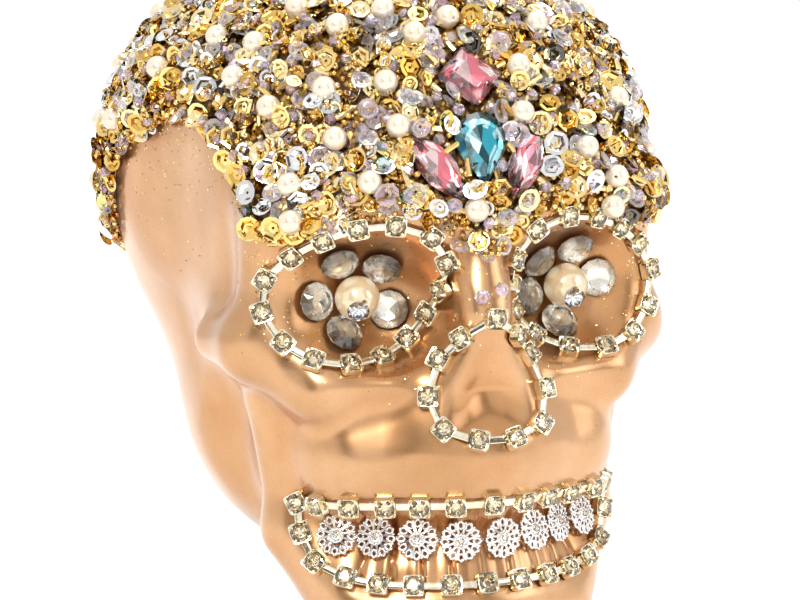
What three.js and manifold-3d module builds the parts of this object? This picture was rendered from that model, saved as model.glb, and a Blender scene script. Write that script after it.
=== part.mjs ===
// A hollow glass skull dressed as an ornament: a crust of beads over the head with pearls set in it,
// four crystals on the forehead, rhinestone chains round the eyes, nose and mouth, a flower of stones
// and a pearl in each eye, a filigree trim on the teeth and a beaded collar round the foot.
// Millimetres, +Z up, the face looks along -Y. The foot stands on z = 0, under the middle of the head.
import * as THREE from "three";
import { mergeVertices } from "three/addons/utils/BufferGeometryUtils.js";
import Module from "manifold-3d";

const wasm = await Module();
wasm.setup();
const { Manifold, Mesh: SolidMesh } = wasm;

const CLEARANCE = 0.3; // between pieces that touch
const GLASS = 4.5; // wall of the skull

// The skull is built up on one side of the middle plane and mirrored. Each form is a ball (an
// ellipsoid at `ball` with half sizes `half`) or a rod (round-ended, from `from` to `to`, with the two
// radii `ends`). It is added, or cut away, with a join as wide as `soft`.
const MIDDLE_ROUNDING = 1;
const BONES = {
  brainCase: { ball: [0, 16, 121], half: [66, 73, 52], soft: 1 },
  forehead: { ball: [0, -14, 119], half: [53, 43, 42], soft: 14 },
  backOfHead: { ball: [0, 44, 94], half: [53, 42, 46], soft: 24 },
  underside: { ball: [0, 18, 58], half: [49, 50, 45], soft: 16 },
  sideOfFace: { ball: [0, -16, 84], half: [54, 38, 30], soft: 14 },
  temple: { ball: [76, -14, 112], half: [18, 34, 30], soft: 16, cut: true },
  behindJaw: { ball: [54, -8, 44], half: [14, 16, 26], soft: 8, cut: true },
  face: { ball: [0, -32, 78], half: [46, 30, 34], soft: 12 },
  brow: { from: [4, -54, 116], to: [41, -45, 115], ends: [8, 7.5], soft: 10 },
  eyeRim: { from: [45, -38, 114], to: [47, -39, 88], ends: [6, 6.5], soft: 10 },
  cheekbone: {
    soft: 8,
    of: {
      outer: { from: [48, -37, 82], to: [36, -49, 73], ends: [8, 7.5], soft: 1 },
      inner: { from: [36, -49, 73], to: [22, -56, 77], ends: [7.5, 5], soft: 6 },
    },
  },
  cheekArch: { from: [50, -34, 81], to: [54, -20, 81], ends: [6.5, 5], soft: 7 },
  behindMouth: { ball: [0, -22, 50], half: [41, 32, 34], soft: 10 },
  muzzle: {
    soft: 4,
    of: {
      lip: { from: [0, -47, 55], to: [21, -42, 56], ends: [22, 20], soft: 1 },
      upperJaw: { from: [0, -50, 62], to: [0, -56, 92], ends: [20, 12], soft: 12 },
    },
  },
  jaw: { ball: [0, -32, 24], half: [36, 33, 22], soft: 8 },
  jawBranch: { from: [42.5, -30, 66], to: [37, -32, 36], ends: [6, 7], soft: 7 },
  jawBody: { from: [37, -32, 34], to: [24, -48, 14], ends: [7.5, 10], soft: 8 },
  chin: { ball: [0, -52, 12], half: [24, 15, 14], soft: 8 },
};
// The row of teeth stands back from the lips, between two heights and out to a way round from the middle.
const TEETH = {
  setBack: 1.2,
  lowest: 21,
  highest: 48,
  fade: 4,
  axis: -24,
  round: 44,
  halfRow: 40,
  pitch: 8.6,
  gapTop: 44,
  gapBottom: 27,
  gapWide: 1.8,
  gapDeep: 0.7,
};
const HOLLOWS = {
  eyeSocket: { ball: [27.5, -66, 94], half: [22, 23, 17.5], turnDegrees: -10, soft: 5, cut: true },
  noseBone: { from: [0, -59, 110], to: [0, -64, 92], ends: [4.5, 5], soft: 6 },
  nostrils: {
    soft: 3,
    cut: true,
    of: {
      top: { from: [0, -73, 86], to: [0, -74, 74], ends: [5, 10], soft: 1 },
      low: { from: [0, -75, 70], to: [6, -74, 69], ends: [8, 7.5], soft: 3 },
    },
  },
};
const CHIN_ROUNDING = 4; // where the chin is flattened to stand
// The round foot behind the chin, and the open bore that runs up through it into the head. The foot
// rises as far as the bore does.
const FOOT = { y: -14, radius: 25, sides: 44 };
const BORE = { y: -20, radius: 13, tall: 34, below: 5, sides: 32 };

// Rays that find the skin: they start from two points on an upright line inside the head.
const RAYS = { low: 58, high: 116, reach: 150, steps: 70, stepShare: 0.6, slopeReach: 3, weld: 0.001 };
const OUTER_GRID = { columns: 52, low: 18, middle: 13, top: 8, frontShare: 0.6, lowShare: 0.75 };
const INNER_GRID = { columns: 26, low: 10, middle: 7, top: 5, frontShare: 0.4, lowShare: 0.8 };

// The crust of beads, and its lower edge: the angle round from the face and the angle above the
// upper ray point, both in degrees. It leaves the temples bare.
const CRUST = { rows: 8, under: 1, over: 2.8 };
const CRUST_EDGE_DEGREES = [
  [0, -4],
  [5, -2],
  [9, 1],
  [15, 3],
  [26, 3],
  [34, 1],
  [40, -3],
  [45, -6],
  [48, -4],
  [53, 3],
  [58, 8],
  [63, 14],
  [74, 18],
  [85, 18],
  [95, 15],
  [107, 8],
  [113, 3],
  [119, -8],
  [130, -14],
  [150, -18],
  [180, -20],
];

// The largest sequins stand out of the crust as leaning six-sided cups. They are spread evenly over a
// sphere of directions, and left out where a pearl, a crystal, a cup or the crust's edge is near.
const SEQUIN = {
  spread: 284,
  sides: 6,
  radius: 3,
  hollow: 0.7,
  deep: 1.8,
  up: 2.7,
  turnStep: 2.4,
  leanDegrees: [24, 44],
  fromEdgeDegrees: 3.5,
  fromPearl: 7.2,
  fromGem: 3.8,
  fromCup: 6.8,
};

// Pearls in the crust: the angle round from the face, to the +X side, and the angle up, in degrees.
const PEARL = { radius: 3, detail: 1, socketSides: 8, socketDeep: 8 };
const PEARL_DEGREES = [
  [-78, 37],
  [-62, 37],
  [-63, 28],
  [-38, 44],
  [-50, 22],
  [-37, 27],
  [-108, 12],
  [-33, 16],
  [-41, 6],
  [-25, 7],
  [-40, -1],
  [-22, 29],
  [-19, 19],
  [-14, 42],
  [-2, 47],
  [14, 32],
  [11, 21],
  [30, 43],
  [27, 12],
  [45, 21],
  [33, 5],
  [-3, 1],
  [-56, 49],
  [-24, 50],
  [71, 44],
  [-94, 26],
  [60, 62],
  [-100, 60],
  [112, 30],
  [135, 5],
  [145, 52],
  [180, 22],
  [-140, 30],
  [-165, -4],
];

// Rhinestone chain: square cups on flat bars.
const CUP = { across: 4.9, wall: 2.2, tall: 3.6 };
const BAR = { wide: 1.4, thick: 0.8, up: 1.1 };
const PATH_SAMPLES = 240;
// Closed paths seen from the front, as x and z.
const EYE_PATH = [
  [7.5, 104],
  [15, 112],
  [26, 113.5],
  [37, 110.5],
  [46, 104],
  [50.5, 95.5],
  [48.5, 87],
  [41, 80.5],
  [30, 78.5],
  [19.5, 80.5],
  [11.5, 87.5],
  [8, 96],
];
const EYE_CUPS = { left: 15, right: 14 };
const NOSE_PATH = [
  [0, 91.5],
  [6.5, 85.5],
  [11.5, 79],
  [14.5, 71.5],
  [12.5, 64.5],
  [5, 61.5],
  [-5, 61.5],
  [-12.5, 64.5],
  [-14.5, 71.5],
  [-11.5, 79],
  [-6.5, 85.5],
];
const NOSE_CUPS = 11;
const MOUTH_PATH = [
  [0, 46.5],
  [12, 46],
  [24, 45.5],
  [34, 45],
  [40, 42.5],
  [39.5, 35.5],
  [36.5, 28.5],
  [26, 24.5],
  [13, 24.5],
  [0, 24.5],
  [-13, 24.5],
  [-26, 24.5],
  [-36.5, 28.5],
  [-39.5, 35.5],
  [-40, 42.5],
  [-34, 45],
  [-24, 45.5],
  [-12, 46],
];
const MOUTH_CUPS = 26;

// The flower in each eye: round stones about a pearl that carries a small pointed crystal.
const EYE_FLOWER = {
  x: 27,
  z: 94.5,
  spread: 10.1,
  degrees: { left: [115, 48, -24, 250, 186], right: [74, 4, 264, 196, 136] },
};
const STONE = { radius: 4.4, edge: 0.7, tall: 3.2, table: 2.5, sides: 9 };
const EYE_PEARL = { radius: 5.5, detail: 2 };
const POINT = { radius: 2.7, tall: 2.7, tip: 0.5, sides: 8, downDegrees: 22 };

// Forehead crystals: outlines in their own plane, then where each one sits.
const GEM = { foot: 0.9, girdle: 1.5, tall: 4.2, footShare: 0.82, tableShare: 0.52 };
const SQUARE = { half: 6.1, corner: 1.2 };
const DROP = { halfWide: 6.6, above: 6.6, below: 11.4 };
const LEAF = { halfWide: 4.4, halfLong: 10 };
const LEAF_SEAT = { x: 11, z: 126.5, leanDegrees: 36 };
const SQUARE_SEAT_Z = 146.5;
const DROP_SEAT_Z = 132.5;
const GEM_SOCKET = { down: 6, up: 9 };

// Filigree flowers over the teeth, joined edge to edge.
const TRIM = {
  flowers: 8,
  pitch: 10,
  z: 35.2,
  reach: 56, // way round from the middle that the line of flowers is measured on
  outer: 5,
  notch: 4.4,
  petals: 10,
  thick: 0.9,
  centreTall: 1.9,
  joinWide: 1.6,
  joinLong: 6,
};

// Collar of beads round the foot.
const COLLAR = { z: 10.5, tall: 3, columns: 72, y: -20, under: 0.6, low: 1.2, high: 2.2 };

// The smaller of two distances, with the corner between them rounded over `soft`.
function softMin(a, b, soft) {
  const h = Math.max(soft - Math.abs(a - b), 0) / soft;
  return Math.min(a, b) - (h * h * soft) / 4;
}

function softMax(a, b, soft) {
  return -softMin(-a, -b, soft);
}

function ease(from, to, v) {
  const t = Math.min(Math.max((v - from) / (to - from), 0), 1);
  return t * t * (3 - 2 * t);
}

// Distance from a point to one form, negative inside.
function formDistance(form, p) {
  if (form.of) return formsDistance(form.of, p, Infinity);
  if (form.ball) {
    let [x, y, z] = p.map((v, k) => v - form.ball[k]);
    if (form.turnDegrees) {
      const a = THREE.MathUtils.degToRad(form.turnDegrees);
      [z, x] = [Math.cos(a) * z + Math.sin(a) * x, Math.cos(a) * x - Math.sin(a) * z];
    }
    const [a, b, c] = form.half;
    const near = Math.hypot(x / a, y / b, z / c);
    const slope = Math.hypot(x / (a * a), y / (b * b), z / (c * c));
    return slope > 0 ? (near * (near - 1)) / slope : -Math.min(a, b, c);
  }
  const along = form.to.map((v, k) => v - form.from[k]);
  const from = p.map((v, k) => v - form.from[k]);
  const dot = (u, v) => u[0] * v[0] + u[1] * v[1] + u[2] * v[2];
  const t = Math.min(Math.max(dot(from, along) / dot(along, along), 0), 1);
  const off = from.map((v, k) => v - t * along[k]);
  return Math.hypot(...off) - (form.ends[0] + (form.ends[1] - form.ends[0]) * t);
}

function formsDistance(forms, p, start) {
  let d = start;
  for (const form of Object.values(forms)) {
    const e = formDistance(form, p);
    d = form.cut ? softMax(d, -e, form.soft) : softMin(d, e, form.soft);
  }
  return d;
}

function roundTeeth(p) {
  return Math.atan2(p[0], TEETH.axis - p[1]) * TEETH.round;
}

// Distance to the skull's outside, negative inside: without its foot and its ornaments.
function skullDistance([px, py, pz]) {
  const p = [Math.hypot(px, MIDDLE_ROUNDING), py, pz];
  let d = formsDistance(BONES, p, Infinity);
  const inRow =
    ease(TEETH.lowest, TEETH.lowest + TEETH.fade, pz) *
    ease(TEETH.highest, TEETH.highest - TEETH.fade, pz) *
    ease(TEETH.halfRow, TEETH.halfRow - 2 * TEETH.fade, roundTeeth(p));
  d += inRow * TEETH.setBack;
  d = formsDistance(HOLLOWS, p, d);
  return softMax(d, -pz, CHIN_ROUNDING);
}

// The skull with its foot.
function standDistance(p) {
  return Math.min(skullDistance(p), Math.hypot(p[0], p[1] - FOOT.y) - FOOT.radius);
}

// The outermost place on the line from `origin` along `way` where the form is `level` away.
function castIn(origin, way, level, distance = skullDistance) {
  let t = RAYS.reach;
  const at = () => origin.map((v, k) => v + way[k] * t);
  for (let i = 0; i < RAYS.steps; i++) t -= (distance(at()) - level) * RAYS.stepShare;
  return at();
}

function wayOut(turn, up) {
  return [Math.sin(turn) * Math.cos(up), -Math.cos(turn) * Math.cos(up), Math.sin(up)];
}

// Direction away from the skull, taken over a patch as wide as a cup.
function slopeAt(p) {
  const slope = [0, 1, 2].map((k) => {
    const more = [...p];
    const less = [...p];
    more[k] += RAYS.slopeReach;
    less[k] -= RAYS.slopeReach;
    return skullDistance(more) - skullDistance(less);
  });
  return new THREE.Vector3(...slope).normalize();
}

// A closed skin through rings of equal count: from a first pole to a last one, or, without poles,
// round from the last ring to the first.
function loft(rings, first, last) {
  const n = rings[0].length;
  const m = rings.length;
  const places = first ? [...rings.flat(), first, last] : rings.flat();
  const faces = [];
  const at = (i, j) => (i % m) * n + (j % n);
  for (let j = 0; j < n; j++) {
    for (let i = 0; i < (first ? m - 1 : m); i++) {
      faces.push(at(i, j), at(i, j + 1), at(i + 1, j + 1), at(i, j), at(i + 1, j + 1), at(i + 1, j));
    }
    if (first) {
      faces.push(m * n, at(0, j + 1), at(0, j), m * n + 1, at(m - 1, j), at(m - 1, j + 1));
    }
  }
  const geometry = new THREE.BufferGeometry();
  geometry.setAttribute("position", new THREE.Float32BufferAttribute(places.flat(), 3));
  return geometry.setIndex(faces);
}

function solid(geometry) {
  const loose = geometry.index ? geometry.toNonIndexed() : geometry;
  const bare = new THREE.BufferGeometry().setAttribute("position", loose.getAttribute("position"));
  const merged = mergeVertices(bare, RAYS.weld);
  const index = merged.index.array;
  const faces = [];
  for (let i = 0; i < index.length; i += 3) {
    const [a, b, c] = index.slice(i, i + 3);
    if (a !== b && b !== c && c !== a) faces.push(a, b, c);
  }
  const vertProperties = merged.attributes.position.array;
  return new Manifold(
    new SolidMesh({ numProp: 3, vertProperties, triVerts: new Uint32Array(faces) }),
  );
}

function placed(geometry, frame) {
  return solid(geometry.clone().applyMatrix4(frame));
}

function turns(grid) {
  return Array.from({ length: grid.columns }, (_, j) => {
    const whole = (2 * Math.PI * j) / grid.columns;
    return whole - grid.frontShare * Math.sin(whole);
  });
}

// The whole skull's skin, `level` out from its surface.
function headSkin(level, grid) {
  const rows = [];
  for (let i = 1; i < grid.low; i++) {
    rows.push([RAYS.low, (-Math.PI / 2) * (1 - (i / grid.low) ** grid.lowShare)]);
  }
  for (let i = 0; i < grid.middle; i++) {
    rows.push([RAYS.low + ((RAYS.high - RAYS.low) * i) / grid.middle, 0]);
  }
  for (let i = 0; i < grid.top; i++) rows.push([RAYS.high, ((Math.PI / 2) * i) / grid.top]);
  const rings = rows.map(([z, up]) =>
    turns(grid).map((turn) => castIn([0, 0, z], wayOut(turn, up), level)),
  );
  const first = castIn([0, 0, RAYS.low], [0, 0, -1], level);
  const last = castIn([0, 0, RAYS.high], [0, 0, 1], level);
  return solid(loft(rings, first, last));
}

function crustEdge(turn) {
  const degrees = Math.abs(THREE.MathUtils.radToDeg(Math.atan2(Math.sin(turn), Math.cos(turn))));
  const i = Math.max(1, CRUST_EDGE_DEGREES.findIndex(([a]) => a >= degrees));
  const [[a, low], [b, high]] = [CRUST_EDGE_DEGREES[i - 1], CRUST_EDGE_DEGREES[i]];
  return THREE.MathUtils.degToRad(low + ((high - low) * (degrees - a)) / (b - a));
}

function crustSkin() {
  const origin = [0, 0, RAYS.high];
  const ring = (i, level) =>
    turns(OUTER_GRID).map((turn) => {
      const edge = crustEdge(turn);
      return castIn(origin, wayOut(turn, edge + ((Math.PI / 2 - edge) * i) / CRUST.rows), level);
    });
  const rows = Array.from({ length: CRUST.rows }, (_, i) => i);
  const rings = [
    ...rows.toReversed().map((i) => ring(i, CRUST.under)),
    ...rows.map((i) => ring(i, CRUST.over)),
  ];
  const [first, last] = [CRUST.under, CRUST.over].map((level) => castIn(origin, [0, 0, 1], level));
  return solid(loft(rings, first, last));
}

// A turned form with flat sides: its profile is given as radius and height.
function turnedForm(profile, sides) {
  const points = profile.map(([r, z]) => new THREE.Vector2(r, z));
  return new THREE.LatheGeometry(points, sides).rotateX(Math.PI / 2);
}

// An upright cylinder between two heights.
function upright(radius, from, to, sides) {
  const tube = new THREE.CylinderGeometry(radius, radius, to - from, sides).rotateX(Math.PI / 2);
  return tube.translate(0, 0, (from + to) / 2);
}

// A place on the front of the skull, seen at x and z.
function frontSeat(x, z) {
  return castIn([x, 0, z], [0, -1, 0], 0);
}

// A frame that stands on the skull at `place`, lifted until the rim of a foot of `radius` is clear.
function seatFrame(place, radius, turn = 0) {
  const out = slopeAt(place);
  const up = new THREE.Vector3(0, 0, 1);
  const side = up.clone().cross(out).normalize();
  const tall = out.clone().cross(side);
  const basis = new THREE.Matrix4().makeBasis(side, tall, out);
  basis.multiply(new THREE.Matrix4().makeRotationZ(turn));
  const at = new THREE.Vector3(...place);
  let lift = CLEARANCE;
  for (let i = 0; i < 8; i++) {
    const a = (Math.PI * i) / 4;
    const rim = new THREE.Vector3(radius * Math.cos(a), radius * Math.sin(a), 0);
    const there = rim.transformDirection(basis).multiplyScalar(radius).add(at);
    lift = Math.max(lift, CLEARANCE - skullDistance(there.toArray()));
  }
  return basis.setPosition(at.addScaledVector(out, lift));
}

// A frame at the middle of the line from a to b: Y along it, Z near `out`.
function spanFrame(a, b, out) {
  const along = b.clone().sub(a).normalize();
  const side = along.clone().cross(out).normalize();
  const frame = new THREE.Matrix4().makeBasis(side, along, side.clone().cross(along));
  return frame.setPosition(a.clone().add(b).multiplyScalar(1 / 2));
}

const skull = headSkin(0, OUTER_GRID);
const skullRoom = headSkin(CLEARANCE, OUTER_GRID);

// A square rod laid over the teeth, whose edge marks the gap between two of them.
function toothGap(turn) {
  const { axis, gapTop, gapBottom, gapWide, gapDeep } = TEETH;
  const way = wayOut(turn, 0);
  const [top, low] = [gapTop, gapBottom].map(
    (z) => new THREE.Vector3(...castIn([0, axis, z], way, gapWide - gapDeep)),
  );
  const rod = new THREE.CylinderGeometry(gapWide, gapWide, top.distanceTo(low), 4);
  return placed(rod, spanFrame(low, top, new THREE.Vector3(...way)));
}

function glassSkull() {
  const foot = upright(FOOT.radius, 0, BORE.tall, FOOT.sides).translate(0, FOOT.y, 0);
  const bore = upright(BORE.radius, -BORE.below, BORE.tall, BORE.sides).translate(0, BORE.y, 0);
  const cuts = [headSkin(-GLASS, INNER_GRID), solid(bore)];
  const gaps = Math.floor(TEETH.halfRow / TEETH.pitch);
  for (let i = 1 - gaps; i < gaps; i++) cuts.push(toothGap((i * TEETH.pitch) / TEETH.round));
  return skull.add(solid(foot)).subtract(Manifold.union(cuts));
}

// Points on the skull along a closed path seen from the front.
function pathOnSkull(path) {
  const points = path.map(([x, z]) => new THREE.Vector3(x, 0, z));
  const curve = new THREE.CatmullRomCurve3(points, true);
  return curve.getPoints(PATH_SAMPLES).map((p) => new THREE.Vector3(...frontSeat(p.x, p.z)));
}

// Walks along a line of points: gives its whole length, and the place and heading at a length.
function walk(points) {
  const lengths = [0];
  points.slice(1).forEach((p, i) => lengths.push(lengths[i] + p.distanceTo(points[i])));
  const at = (want) => {
    const i = Math.max(1, lengths.findIndex((l) => l >= want));
    const share = (want - lengths[i - 1]) / (lengths[i] - lengths[i - 1]);
    const place = points[i - 1].clone().lerp(points[i], share);
    return { place, heading: points[i].clone().sub(points[i - 1]).normalize() };
  };
  return { whole: lengths.at(-1), at };
}

// A seat turned so that its X axis follows the heading.
function seatAlong({ place, heading }, radius) {
  const frame = seatFrame(place.toArray(), radius);
  const [side, tall] = [0, 1].map((k) => new THREE.Vector3().setFromMatrixColumn(frame, k));
  const turn = Math.atan2(heading.dot(tall), heading.dot(side));
  return frame.multiply(new THREE.Matrix4().makeRotationZ(turn));
}

// A flat bar from one frame's origin to another's, raised along their Z axes.
function barBetween(a, b, raise, { wide, long, thick }) {
  const up = new THREE.Vector3(0, 0, raise);
  const [from, to] = [a, b].map((frame) => up.clone().applyMatrix4(frame));
  const out = new THREE.Vector3().setFromMatrixColumn(a, 2);
  const bar = new THREE.BoxGeometry(wide, long ?? from.distanceTo(to), thick);
  return placed(bar, spanFrame(from, to, out));
}

function cupFrames(path, count) {
  const line = walk(pathOnSkull(path));
  return Array.from({ length: count }, (_, i) =>
    seatAlong(line.at((line.whole * i) / count), CUP.across / 2),
  );
}

function cupChain(path, count) {
  const frames = cupFrames(path, count);
  const corner = CUP.across / Math.SQRT2;
  const profile = [
    [0, 0],
    [corner, 0],
    [corner, CUP.wall],
    [0, CUP.tall],
  ];
  const cup = turnedForm(profile, 4).rotateZ(Math.PI / 4);
  const cups = frames.map((frame) => placed(cup, frame));
  const bars = frames.map((frame, i) => barBetween(frame, frames[(i + 1) % frames.length], BAR.up, BAR));
  return Manifold.union([...cups, ...bars]).subtract(skullRoom);
}

function ball({ radius, detail }) {
  return new THREE.IcosahedronGeometry(radius, detail);
}

function roundStone() {
  const { radius, edge, tall, table, sides } = STONE;
  const profile = [
    [0, 0],
    [radius, 0],
    [radius, edge],
    [table, tall],
    [0, tall],
  ];
  return turnedForm(profile, sides);
}

// The pieces of one eye's flower: its stones, its pearl and the pointed crystal on the pearl.
function eyeFlower(sign, degrees) {
  const { x, z, spread } = EYE_FLOWER;
  const frames = degrees.map((angle) => {
    const a = THREE.MathUtils.degToRad(angle);
    const seat = frontSeat(sign * x + spread * Math.cos(a), z + spread * Math.sin(a));
    return seatFrame(seat, STONE.radius);
  });
  const seat = frontSeat(sign * x, z);
  const centre = slopeAt(seat)
    .multiplyScalar(CLEARANCE + EYE_PEARL.radius)
    .add(new THREE.Vector3(...seat));
  const down = THREE.MathUtils.degToRad(POINT.downDegrees);
  const out = new THREE.Vector3(0, -Math.cos(down), -Math.sin(down));
  const foot = centre.clone().addScaledVector(out, EYE_PEARL.radius + CLEARANCE);
  const tip = foot.clone().addScaledVector(out, POINT.tall);
  const cone = new THREE.CylinderGeometry(POINT.tip, POINT.radius, POINT.tall, POINT.sides);
  return {
    stones: frames.map((frame) => placed(roundStone(), frame).subtract(skullRoom)),
    pearl: solid(ball(EYE_PEARL).translate(...centre)),
    point: placed(cone, spanFrame(foot, tip, new THREE.Vector3(1, 0, 0))),
  };
}

const squareOutline = () => {
  const { half, corner } = SQUARE;
  const near = half - corner;
  return [
    [half, -near],
    [half, near],
    [near, half],
    [-near, half],
    [-half, near],
    [-half, -near],
    [-near, -half],
    [near, -half],
  ];
};

const dropOutline = () => {
  const { halfWide, above, below } = DROP;
  const points = [];
  for (let i = -1; i <= 7; i++) {
    const a = (Math.PI * i) / 6;
    points.push([halfWide * Math.cos(a), above * Math.sin(a)]);
  }
  return [...points, [0, -below]];
};

const leafOutline = () =>
  [1, -1].flatMap((sign) =>
    Array.from({ length: 6 }, (_, i) => {
      const t = i / 3 - 1;
      return [sign * LEAF.halfWide * (1 - t * t), sign * LEAF.halfLong * t];
    }),
  );

function gem(outline) {
  const { foot, girdle, tall, footShare, tableShare } = GEM;
  const ring = (share, z) => outline.map(([x, y]) => [x * share, y * share, z]);
  const rings = [ring(footShare, 0), ring(1, foot), ring(1, girdle), ring(tableShare, tall)];
  return loft(rings, [0, 0, 0], [0, 0, tall]);
}

// The room that a crystal needs in the crust.
function gemRoom(outline) {
  const grown = (z) =>
    outline.map(([x, y]) => {
      const far = Math.hypot(x, y);
      return [(x * (far + 2 * CLEARANCE)) / far, (y * (far + 2 * CLEARANCE)) / far, z];
    });
  const { down, up } = GEM_SOCKET;
  return loft([grown(-down), grown(up)], [0, 0, -down], [0, 0, up]);
}

const leaf = (name, sign) => ({
  name,
  outline: leafOutline(),
  x: sign * LEAF_SEAT.x,
  z: LEAF_SEAT.z,
  turn: -sign * THREE.MathUtils.degToRad(LEAF_SEAT.leanDegrees),
  colour: 0xe4718a,
});
const GEMS = [
  { name: "square", outline: squareOutline(), x: 0, z: SQUARE_SEAT_Z, turn: Math.PI / 4, colour: 0xe87f92 },
  { name: "drop", outline: dropOutline(), x: 0, z: DROP_SEAT_Z, turn: 0, colour: 0x63c3dc },
  leaf("leaf_left", -1),
  leaf("leaf_right", 1),
];
const gemFrames = GEMS.map(({ x, z, turn }) => seatFrame(frontSeat(x, z), SQUARE.half, turn));

const pearlCentres = PEARL_DEGREES.map((angles) => {
  const way = wayOut(...angles.map(THREE.MathUtils.degToRad));
  return castIn([0, 0, RAYS.high], way, CLEARANCE + PEARL.radius);
});

const SIDES = { left: -1, right: 1 };
const eyePath = (sign) => EYE_PATH.map(([x, z]) => [sign * x, z]);

function nearGem(place) {
  return GEMS.some(({ outline }, i) => {
    const { x, y, z } = place.clone().applyMatrix4(gemFrames[i].clone().invert());
    const far = (k) => outline.map((corner) => corner[k]);
    const within = (v, k) =>
      v > Math.min(...far(k)) - SEQUIN.fromGem && v < Math.max(...far(k)) + SEQUIN.fromGem;
    return within(x, 0) && within(y, 1) && Math.abs(z) < GEM_SOCKET.up;
  });
}

function sequinFrames() {
  const goldenAngle = Math.PI * (3 - Math.sqrt(5));
  const [flattest, steepest] = SEQUIN.leanDegrees.map(THREE.MathUtils.degToRad);
  const fromEdge = THREE.MathUtils.degToRad(SEQUIN.fromEdgeDegrees);
  const eyeCups = Object.entries(SIDES).flatMap(([side, sign]) =>
    cupFrames(eyePath(sign), EYE_CUPS[side]).map((f) => new THREE.Vector3().setFromMatrixPosition(f)),
  );
  const pearls = pearlCentres.map((centre) => new THREE.Vector3(...centre));
  const near = (place, others, reach) => others.some((other) => other.distanceTo(place) < reach);
  const frames = [];
  for (let i = 0; i < SEQUIN.spread; i++) {
    const up = Math.asin(1 - (2 * i + 1) / SEQUIN.spread);
    const turn = i * goldenAngle;
    if (up < crustEdge(turn) + fromEdge) continue;
    const place = new THREE.Vector3(...castIn([0, 0, RAYS.high], wayOut(turn, up), SEQUIN.up));
    if (near(place, pearls, SEQUIN.fromPearl) || near(place, eyeCups, SEQUIN.fromCup)) continue;
    if (nearGem(place)) continue;
    const out = slopeAt(place.toArray());
    const side = new THREE.Vector3(0, 0, 1).cross(out).normalize();
    const frame = new THREE.Matrix4().makeBasis(side, out.clone().cross(side), out);
    const lean = flattest + (steepest - flattest) * ((i * 0.618) % 1);
    frame.multiply(new THREE.Matrix4().makeRotationZ(i * SEQUIN.turnStep));
    frame.multiply(new THREE.Matrix4().makeRotationX(lean));
    frames.push(frame.setPosition(place));
  }
  return frames;
}

function beadCrust() {
  const { radius, socketSides, socketDeep } = PEARL;
  const wide = (radius + CLEARANCE) / Math.cos(Math.PI / socketSides);
  const socket = new THREE.CylinderGeometry(wide, wide, socketDeep, socketSides).rotateX(Math.PI / 2);
  const pearlRooms = pearlCentres.map((centre) => {
    const frame = new THREE.Matrix4().lookAt(
      new THREE.Vector3(...centre),
      new THREE.Vector3(0, 0, RAYS.high),
      new THREE.Vector3(0, 0, 1),
    );
    return placed(socket, frame.setPosition(...centre));
  });
  const gemRooms = GEMS.map(({ outline }, i) => placed(gemRoom(outline), gemFrames[i]));
  const cup = turnedForm([[0, -SEQUIN.deep], [SEQUIN.radius, 0], [0, -SEQUIN.hollow]], SEQUIN.sides);
  const sequins = sequinFrames().map((frame) => placed(cup, frame));
  const whole = Manifold.union([crustSkin(), ...sequins]);
  return whole.subtract(Manifold.union([skullRoom, ...pearlRooms, ...gemRooms]));
}

// The flowers stand in a row over the teeth.
function filigreeTrim() {
  const { flowers, pitch, z, outer, notch, petals, thick } = TRIM;
  const points = Array.from({ length: PATH_SAMPLES + 1 }, (_, i) => {
    const turn = ((2 * i) / PATH_SAMPLES - 1) * (TRIM.reach / TEETH.round);
    return new THREE.Vector3(...castIn([0, TEETH.axis, z], wayOut(turn, 0), 0));
  });
  const line = walk(points);
  const frames = Array.from({ length: flowers }, (_, i) =>
    seatAlong(line.at(line.whole / 2 + (i - (flowers - 1) / 2) * pitch), outer),
  );
  const rim = (height) =>
    Array.from({ length: 2 * petals }, (_, i) => {
      const a = (Math.PI * i) / petals;
      const far = i % 2 ? notch : outer;
      return [far * Math.cos(a), far * Math.sin(a), height];
    });
  const bloom = loft([rim(0), rim(thick)], [0, 0, 0], [0, 0, TRIM.centreTall]);
  const blooms = frames.map((frame) => placed(bloom, frame));
  const tab = { wide: TRIM.joinWide, long: TRIM.joinLong, thick };
  const tabs = frames.slice(1).map((frame, i) => barBetween(frames[i], frame, thick, tab));
  return Manifold.union([...blooms, ...tabs]).subtract(skullRoom);
}

// The collar's beads are ridges: every other column stands further out.
function beadCollar() {
  const { z, tall, columns, y, under, low, high } = COLLAR;
  const ring = (height, thick) =>
    Array.from({ length: columns }, (_, j) => {
      const way = wayOut((2 * Math.PI * j) / columns, 0);
      const bead = thick ? (j % 2 ? high : low) : 0;
      return castIn([0, y, height], way, under, standDistance).map((v, k) => v + way[k] * bead);
    });
  const [bottom, top] = [z - tall / 2, z + tall / 2];
  return solid(loft([ring(bottom, true), ring(top, true), ring(top, false), ring(bottom, false)]));
}

function finish(name, body, color, roughness, metalness) {
  const made = body.getMesh();
  const geometry = new THREE.BufferGeometry();
  geometry.setAttribute("position", new THREE.BufferAttribute(made.vertProperties, 3));
  geometry.setIndex(new THREE.BufferAttribute(made.triVerts, 1));
  const material = new THREE.MeshStandardMaterial({ color, roughness, metalness, flatShading: true });
  const mesh = new THREE.Mesh(geometry, material);
  mesh.name = name;
  return mesh;
}

const group = new THREE.Group();
group.name = "glass_skull";
const add = (...parts) => group.add(finish(...parts));

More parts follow.
